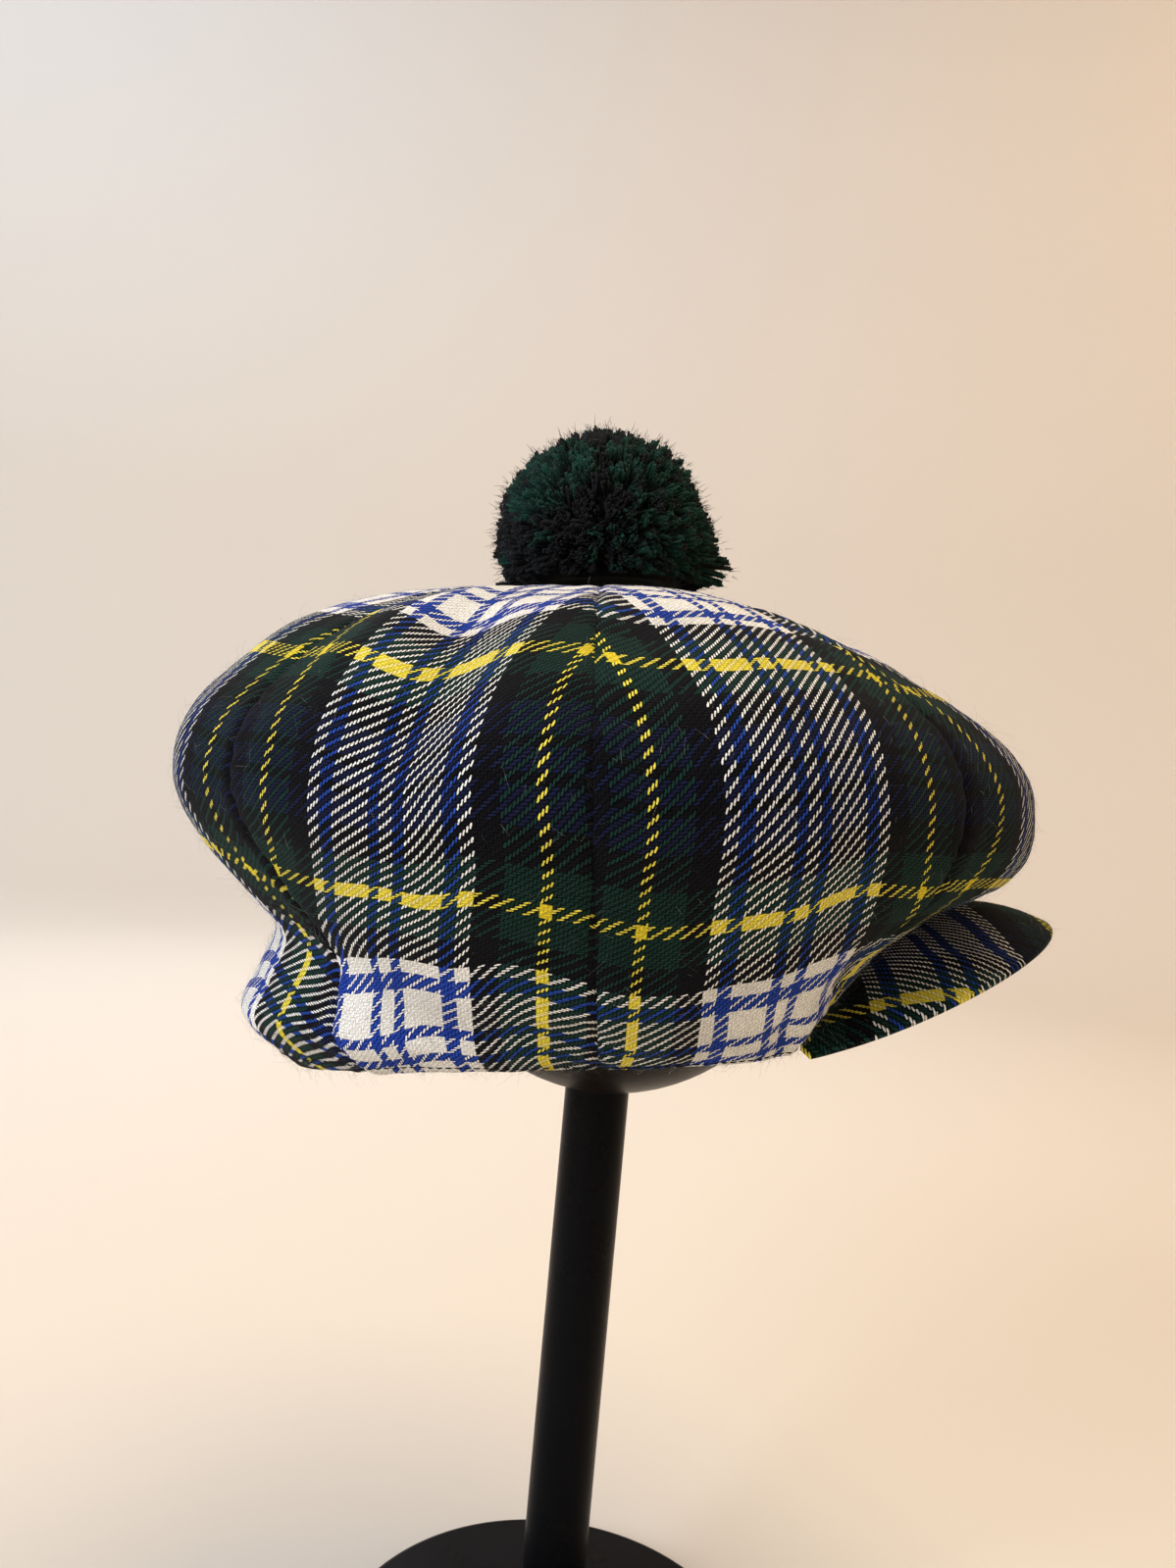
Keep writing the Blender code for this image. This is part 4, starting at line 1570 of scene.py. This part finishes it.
@dataclass
class WoolFuzz:
    """Fine loose fibres that stand out of the worn cloth."""

    form: CapForm
    peak: Peak
    seat: float
    over_cap: int = 6500
    round_hem: int = 900
    on_peak: int = 500
    radius: float = 0.000022
    pale_share: float = 0.22
    seed: int = 5

    # Rows that have fibres, the rows next to the hem that have more, the row of the rim,
    # and the steps at which the cloth's slope is read
    first_row: float = 1.2
    bare_rows: float = 1.3
    hem_rows: float = 0.25
    rim_row: float = 6.0
    turn_step: float = 0.01
    row_step: float = 0.1

    # Least, most and usual length of a fibre, and the same for its rise out of the cloth
    lengths = (0.0012, 0.0075, 0.0025)
    rises = (0.1, 0.9, 0.25)

    def fibre(self, chance: random.Random, root: Vector, normal: Vector) -> Strand:
        """Bend one fibre out of the cloth.

        Args:
            chance: Source of random numbers.
            root: Where it leaves the cloth.
            normal: The cloth's outward direction.

        Returns:
            The fibre.
        """
        aside = Vector([chance.gauss(0.0, 1.0) for _axis in range(3)])
        aside = (aside - aside.project(normal)).normalized()
        length = chance.triangular(*self.lengths)
        rise = chance.triangular(*self.rises)
        bend = root + (normal * rise + aside * 0.4) * length * 0.6
        tip = root + (normal * rise * chance.uniform(0.4, 1.2) + aside) * length
        dye = 1.0 if chance.random() < self.pale_share else chance.uniform(0.0, 0.3)
        return Strand(root, bend, tip, self.radius, 0.5 * self.radius, dye, 1.2)

    def build(self, finish: bpy.types.Material) -> bpy.types.Object:
        """Scatter the fibres over the cap, along its hem and on the peak.

        Args:
            finish: The fibres' material.

        Returns:
            The fibres.
        """
        chance = random.Random(self.seed)
        strands = []
        for index in range(self.over_cap + self.round_hem):
            azimuth = chance.uniform(-math.pi, math.pi)
            if index < self.over_cap:
                station = self.first_row + (self.form.hem - self.bare_rows) * math.sqrt(chance.random())
            else:
                station = self.form.hem - self.hem_rows * chance.random()
            root = self.form.point(azimuth, station, self.seat, -0.0001)
            ahead = self.form.plain_point(azimuth + self.turn_step, station, self.seat)
            low = min(station + self.row_step, self.form.hem)
            below = self.form.plain_point(azimuth, low, self.seat)
            above = self.form.plain_point(azimuth, station - self.row_step, self.seat)
            normal = (above - below).cross(ahead - root).normalized()
            outward = normal.z if station <= self.rim_row else normal.dot(root - Vector((0.0, 0.0, root.z)))
            if outward < 0.0:
                normal = -normal
            strands.append(self.fibre(chance, root, normal))
        for _index in range(self.on_peak):
            root = self.peak.point(chance.uniform(-0.97, 0.97), 1.0 - 1.6 * chance.random() ** 2)
            strands.append(self.fibre(chance, root + Vector((0.0, 0.0, 0.0008)), Vector((0.3, 0.0, 0.95))))
        mesh = strand_mesh("wool_fuzz", strands, 3, 3)
        return add_piece("wool_fuzz", mesh, finish)


@dataclass
class Stand:
    """The plain stand: a flat round base, a pole and a round head."""

    base_radius: float = 0.0765
    base_thickness: float = 0.007
    base_bevel: float = 0.0022
    pole_radius: float = 0.0112
    pole_bevel: float = 0.0004
    head_radius: float = 0.075
    head_height: float = 0.171
    head_flat_rim: float = 0.002
    rings: int = 48
    steps: int = 128
    doubles: float = 0.00001

    def turned(
        self, name: str, profile: Sequence[tuple[float, float]], finish: bpy.types.Material, slot: Slot,
        node: str, bevel: float = 0.0,
    ) -> bpy.types.Object:
        """Turn a closed profile about Z.

        Args:
            name: The piece's name.
            profile: Distances from the axis and heights, down the outer side.
            finish: Its material.
            slot: Not used.
            node: The node that it stands for.
            bevel: Width of its rounded edges.

        Returns:
            The piece.
        """
        mesh = turned_mesh(name, profile, self.steps, self.doubles)
        mesh.set_sharp_from_angle(angle=math.radians(35.0))
        piece = add_piece(name, mesh, finish)
        if bevel:
            edge = piece.modifiers.new("edge", "BEVEL")
            edge.width = bevel
            edge.segments = 4
            edge.limit_method = "ANGLE"
            edge.angle_limit = math.radians(40.0)
        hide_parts(node)
        return piece

    def build(self, metal: bpy.types.Material, lacquer: bpy.types.Material) -> None:
        """Make the base, the pole and the head.

        Args:
            metal: Paint of the base and the pole.
            lacquer: Lacquer of the head.
        """
        top = self.base_thickness
        self.turned(
            "painted_base", ((0.0, top), (self.base_radius, top), (self.base_radius, 0.0), (0.0, 0.0)),
            metal, Slot.METAL, "stand_base", self.base_bevel,
        )
        low, high = (corner.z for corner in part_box("stand_pole")[:2])
        self.turned(
            "painted_pole", ((0.0, high), (self.pole_radius, high), (self.pole_radius, low), (0.0, low)),
            metal, Slot.METAL, "stand_pole", self.pole_bevel,
        )
        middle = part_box("stand_head")[1].z - 0.5 * self.head_height
        flat = self.pole_radius + self.head_flat_rim
        last = math.pi - math.asin(flat / self.head_radius)
        profile = []
        for ring in range(self.rings + 1):
            angle = last * ring / self.rings
            distance = self.head_radius * math.sin(angle)
            profile.append((distance, middle + 0.5 * self.head_height * math.cos(angle)))
        profile.append((0.0, profile[-1][1]))
        self.turned("lacquered_head", profile, lacquer, Slot.LACQUER, "stand_head")


# Studio


@dataclass
class Studio:
    """Pale seamless paper, soft lights and the camera."""

    paper_radius: float = 2.6
    paper_corner: float = 0.9
    paper_wall: float = 3.4
    bends: int = 12
    steps: int = 96
    doubles: float = 0.0001
    paper: PalePaper = PalePaper("#D8D0C3")
    camera_distance: float = 0.413
    camera_height: float = 0.318
    camera_yaw: float = math.radians(-1.79)
    camera_pitch: float = math.radians(0.5)
    camera_roll: float = math.radians(5.2)
    photo_height: float = 1599.0
    focal_pixels: float = 1201.0
    sensor: float = 36.0

    def build(self) -> None:
        """Make the paper, the lights, the world's light and the camera."""
        self.floor()
        self.lights()
        self.camera()

    def floor(self) -> None:
        """Turn the paper: a round floor that curves up into a wall all round."""
        profile = [(0.0, 0.0)]
        for bend in range(self.bends + 1):
            turn = 0.5 * math.pi * bend / self.bends
            profile.append((
                self.paper_radius - self.paper_corner * (1.0 - math.sin(turn)),
                self.paper_corner * (1.0 - math.cos(turn)),
            ))
        profile.append((self.paper_radius, self.paper_wall))
        mesh = turned_mesh("seamless_paper", profile, self.steps, self.doubles)
        mesh.materials.append(self.paper.material())
        sweep = bpy.data.objects.new("seamless_paper", mesh)
        bpy.context.scene.collection.objects.link(sweep)

    def lights(self) -> None:
        """Hang the soft lights: name, place, size, power and colour of each."""
        cap = Vector((0.0, 0.0, 0.30))
        paper_left = Vector((-1.2, self.paper_radius, 0.9))
        paper_right = Vector((1.2, self.paper_radius, 0.9))
        for name, place, aim, size, power, colour in (
            ("window at the left", (-1.15, -1.05, 0.95), cap, 0.9, 25.0, "#E9F0FF"),
            ("warm light above", (0.25, 0.05, 1.75), cap, 1.0, 15.0, "#FFDFB0"),
            ("low light at the right", (1.30, -1.00, 0.60), cap, 0.9, 2.0, "#FFE3C0"),
            ("light behind", (-0.70, 1.30, 1.00), cap, 0.8, 5.0, "#F1F4FF"),
            ("cool light on the paper", (-0.90, 0.70, 2.10), paper_left, 1.4, 27.0, "#C8E0FF"),
            ("warm light on the paper", (0.90, 0.70, 2.10), paper_right, 1.4, 16.0, "#FFCF98"),
        ):
            lamp = bpy.data.lights.new(name, "AREA")
            lamp.shape = "SQUARE"
            lamp.size = size
            lamp.energy = power
            lamp.color = linear(colour)[:3]
            holder = bpy.data.objects.new(name, lamp)
            holder.location = place
            holder.rotation_euler = (aim - Vector(place)).to_track_quat("-Z", "Y").to_euler()
            bpy.context.scene.collection.objects.link(holder)
        world = bpy.data.worlds.new("soft room light")
        world.use_nodes = True
        world.node_tree.nodes["Background"].inputs["Color"].default_value = linear("#F0F3F8")
        world.node_tree.nodes["Background"].inputs["Strength"].default_value = 0.45
        bpy.context.scene.world = world
        bpy.context.scene.view_settings.view_transform = "Standard"

    def camera(self) -> None:
        """Set the camera at the photograph's viewing angle."""
        yaw = self.camera_yaw
        pitch = self.camera_pitch
        roll = self.camera_roll
        ahead = Vector((math.sin(yaw) * math.cos(pitch), math.cos(yaw) * math.cos(pitch), -math.sin(pitch)))
        right = Vector((math.cos(yaw), -math.sin(yaw), 0.0))
        up = right.cross(ahead)
        turned_right = right * math.cos(roll) + up * math.sin(roll)
        turned_up = up * math.cos(roll) - right * math.sin(roll)
        lens = bpy.data.cameras.new("camera")
        lens.sensor_fit = "VERTICAL"
        lens.sensor_height = self.sensor
        lens.lens = self.focal_pixels / self.photo_height * self.sensor
        lens.clip_start = 0.01
        holder = bpy.data.objects.new("camera", lens)
        turn = Matrix((turned_right, turned_up, -ahead)).transposed().to_4x4()
        holder.matrix_world = Matrix.Translation((0.0, -self.camera_distance, self.camera_height)) @ turn
        bpy.context.scene.collection.objects.link(holder)
        bpy.context.scene.camera = holder


def main() -> None:
    """Build and dress the cap, its stand and the studio."""
    logging.basicConfig(level=logging.INFO, format="%(name)s: %(message)s")
    form = CapForm()
    seat = form.seat()
    log.info("the cap sits %.2f mm above the floor", seat / MILLIMETRE)
    cloth = TartanWool().material()
    yarn = ToneYarn("cut pompom wool", "#111116", "#0C3A2E", sheen=0.06).material()
    thread = ToneYarn("navy sewing thread", "#161B2E", "#161B2E", sheen=0.0).material()
    fuzz = ToneYarn("loose wool fibres", "#2A3338", "#B7B9B2", sheen=0.0).material()
    Gores(form, seat).build(cloth)
    peak = Peak(form, seat)
    peak.build(cloth)
    Pompom(form, seat).build(yarn)
    HemStitching(form, seat).build(thread)
    WoolFuzz(form, peak, seat).build(fuzz)
    metal = SatinCoat("black satin powder coat on steel", "#06070A", roughness=0.30).material()
    lacquer = SatinCoat("dark satin lacquer", "#15110F", roughness=0.36).material()
    Stand().build(metal, lacquer)
    Studio().build()


if __name__ == "__main__":
    main()
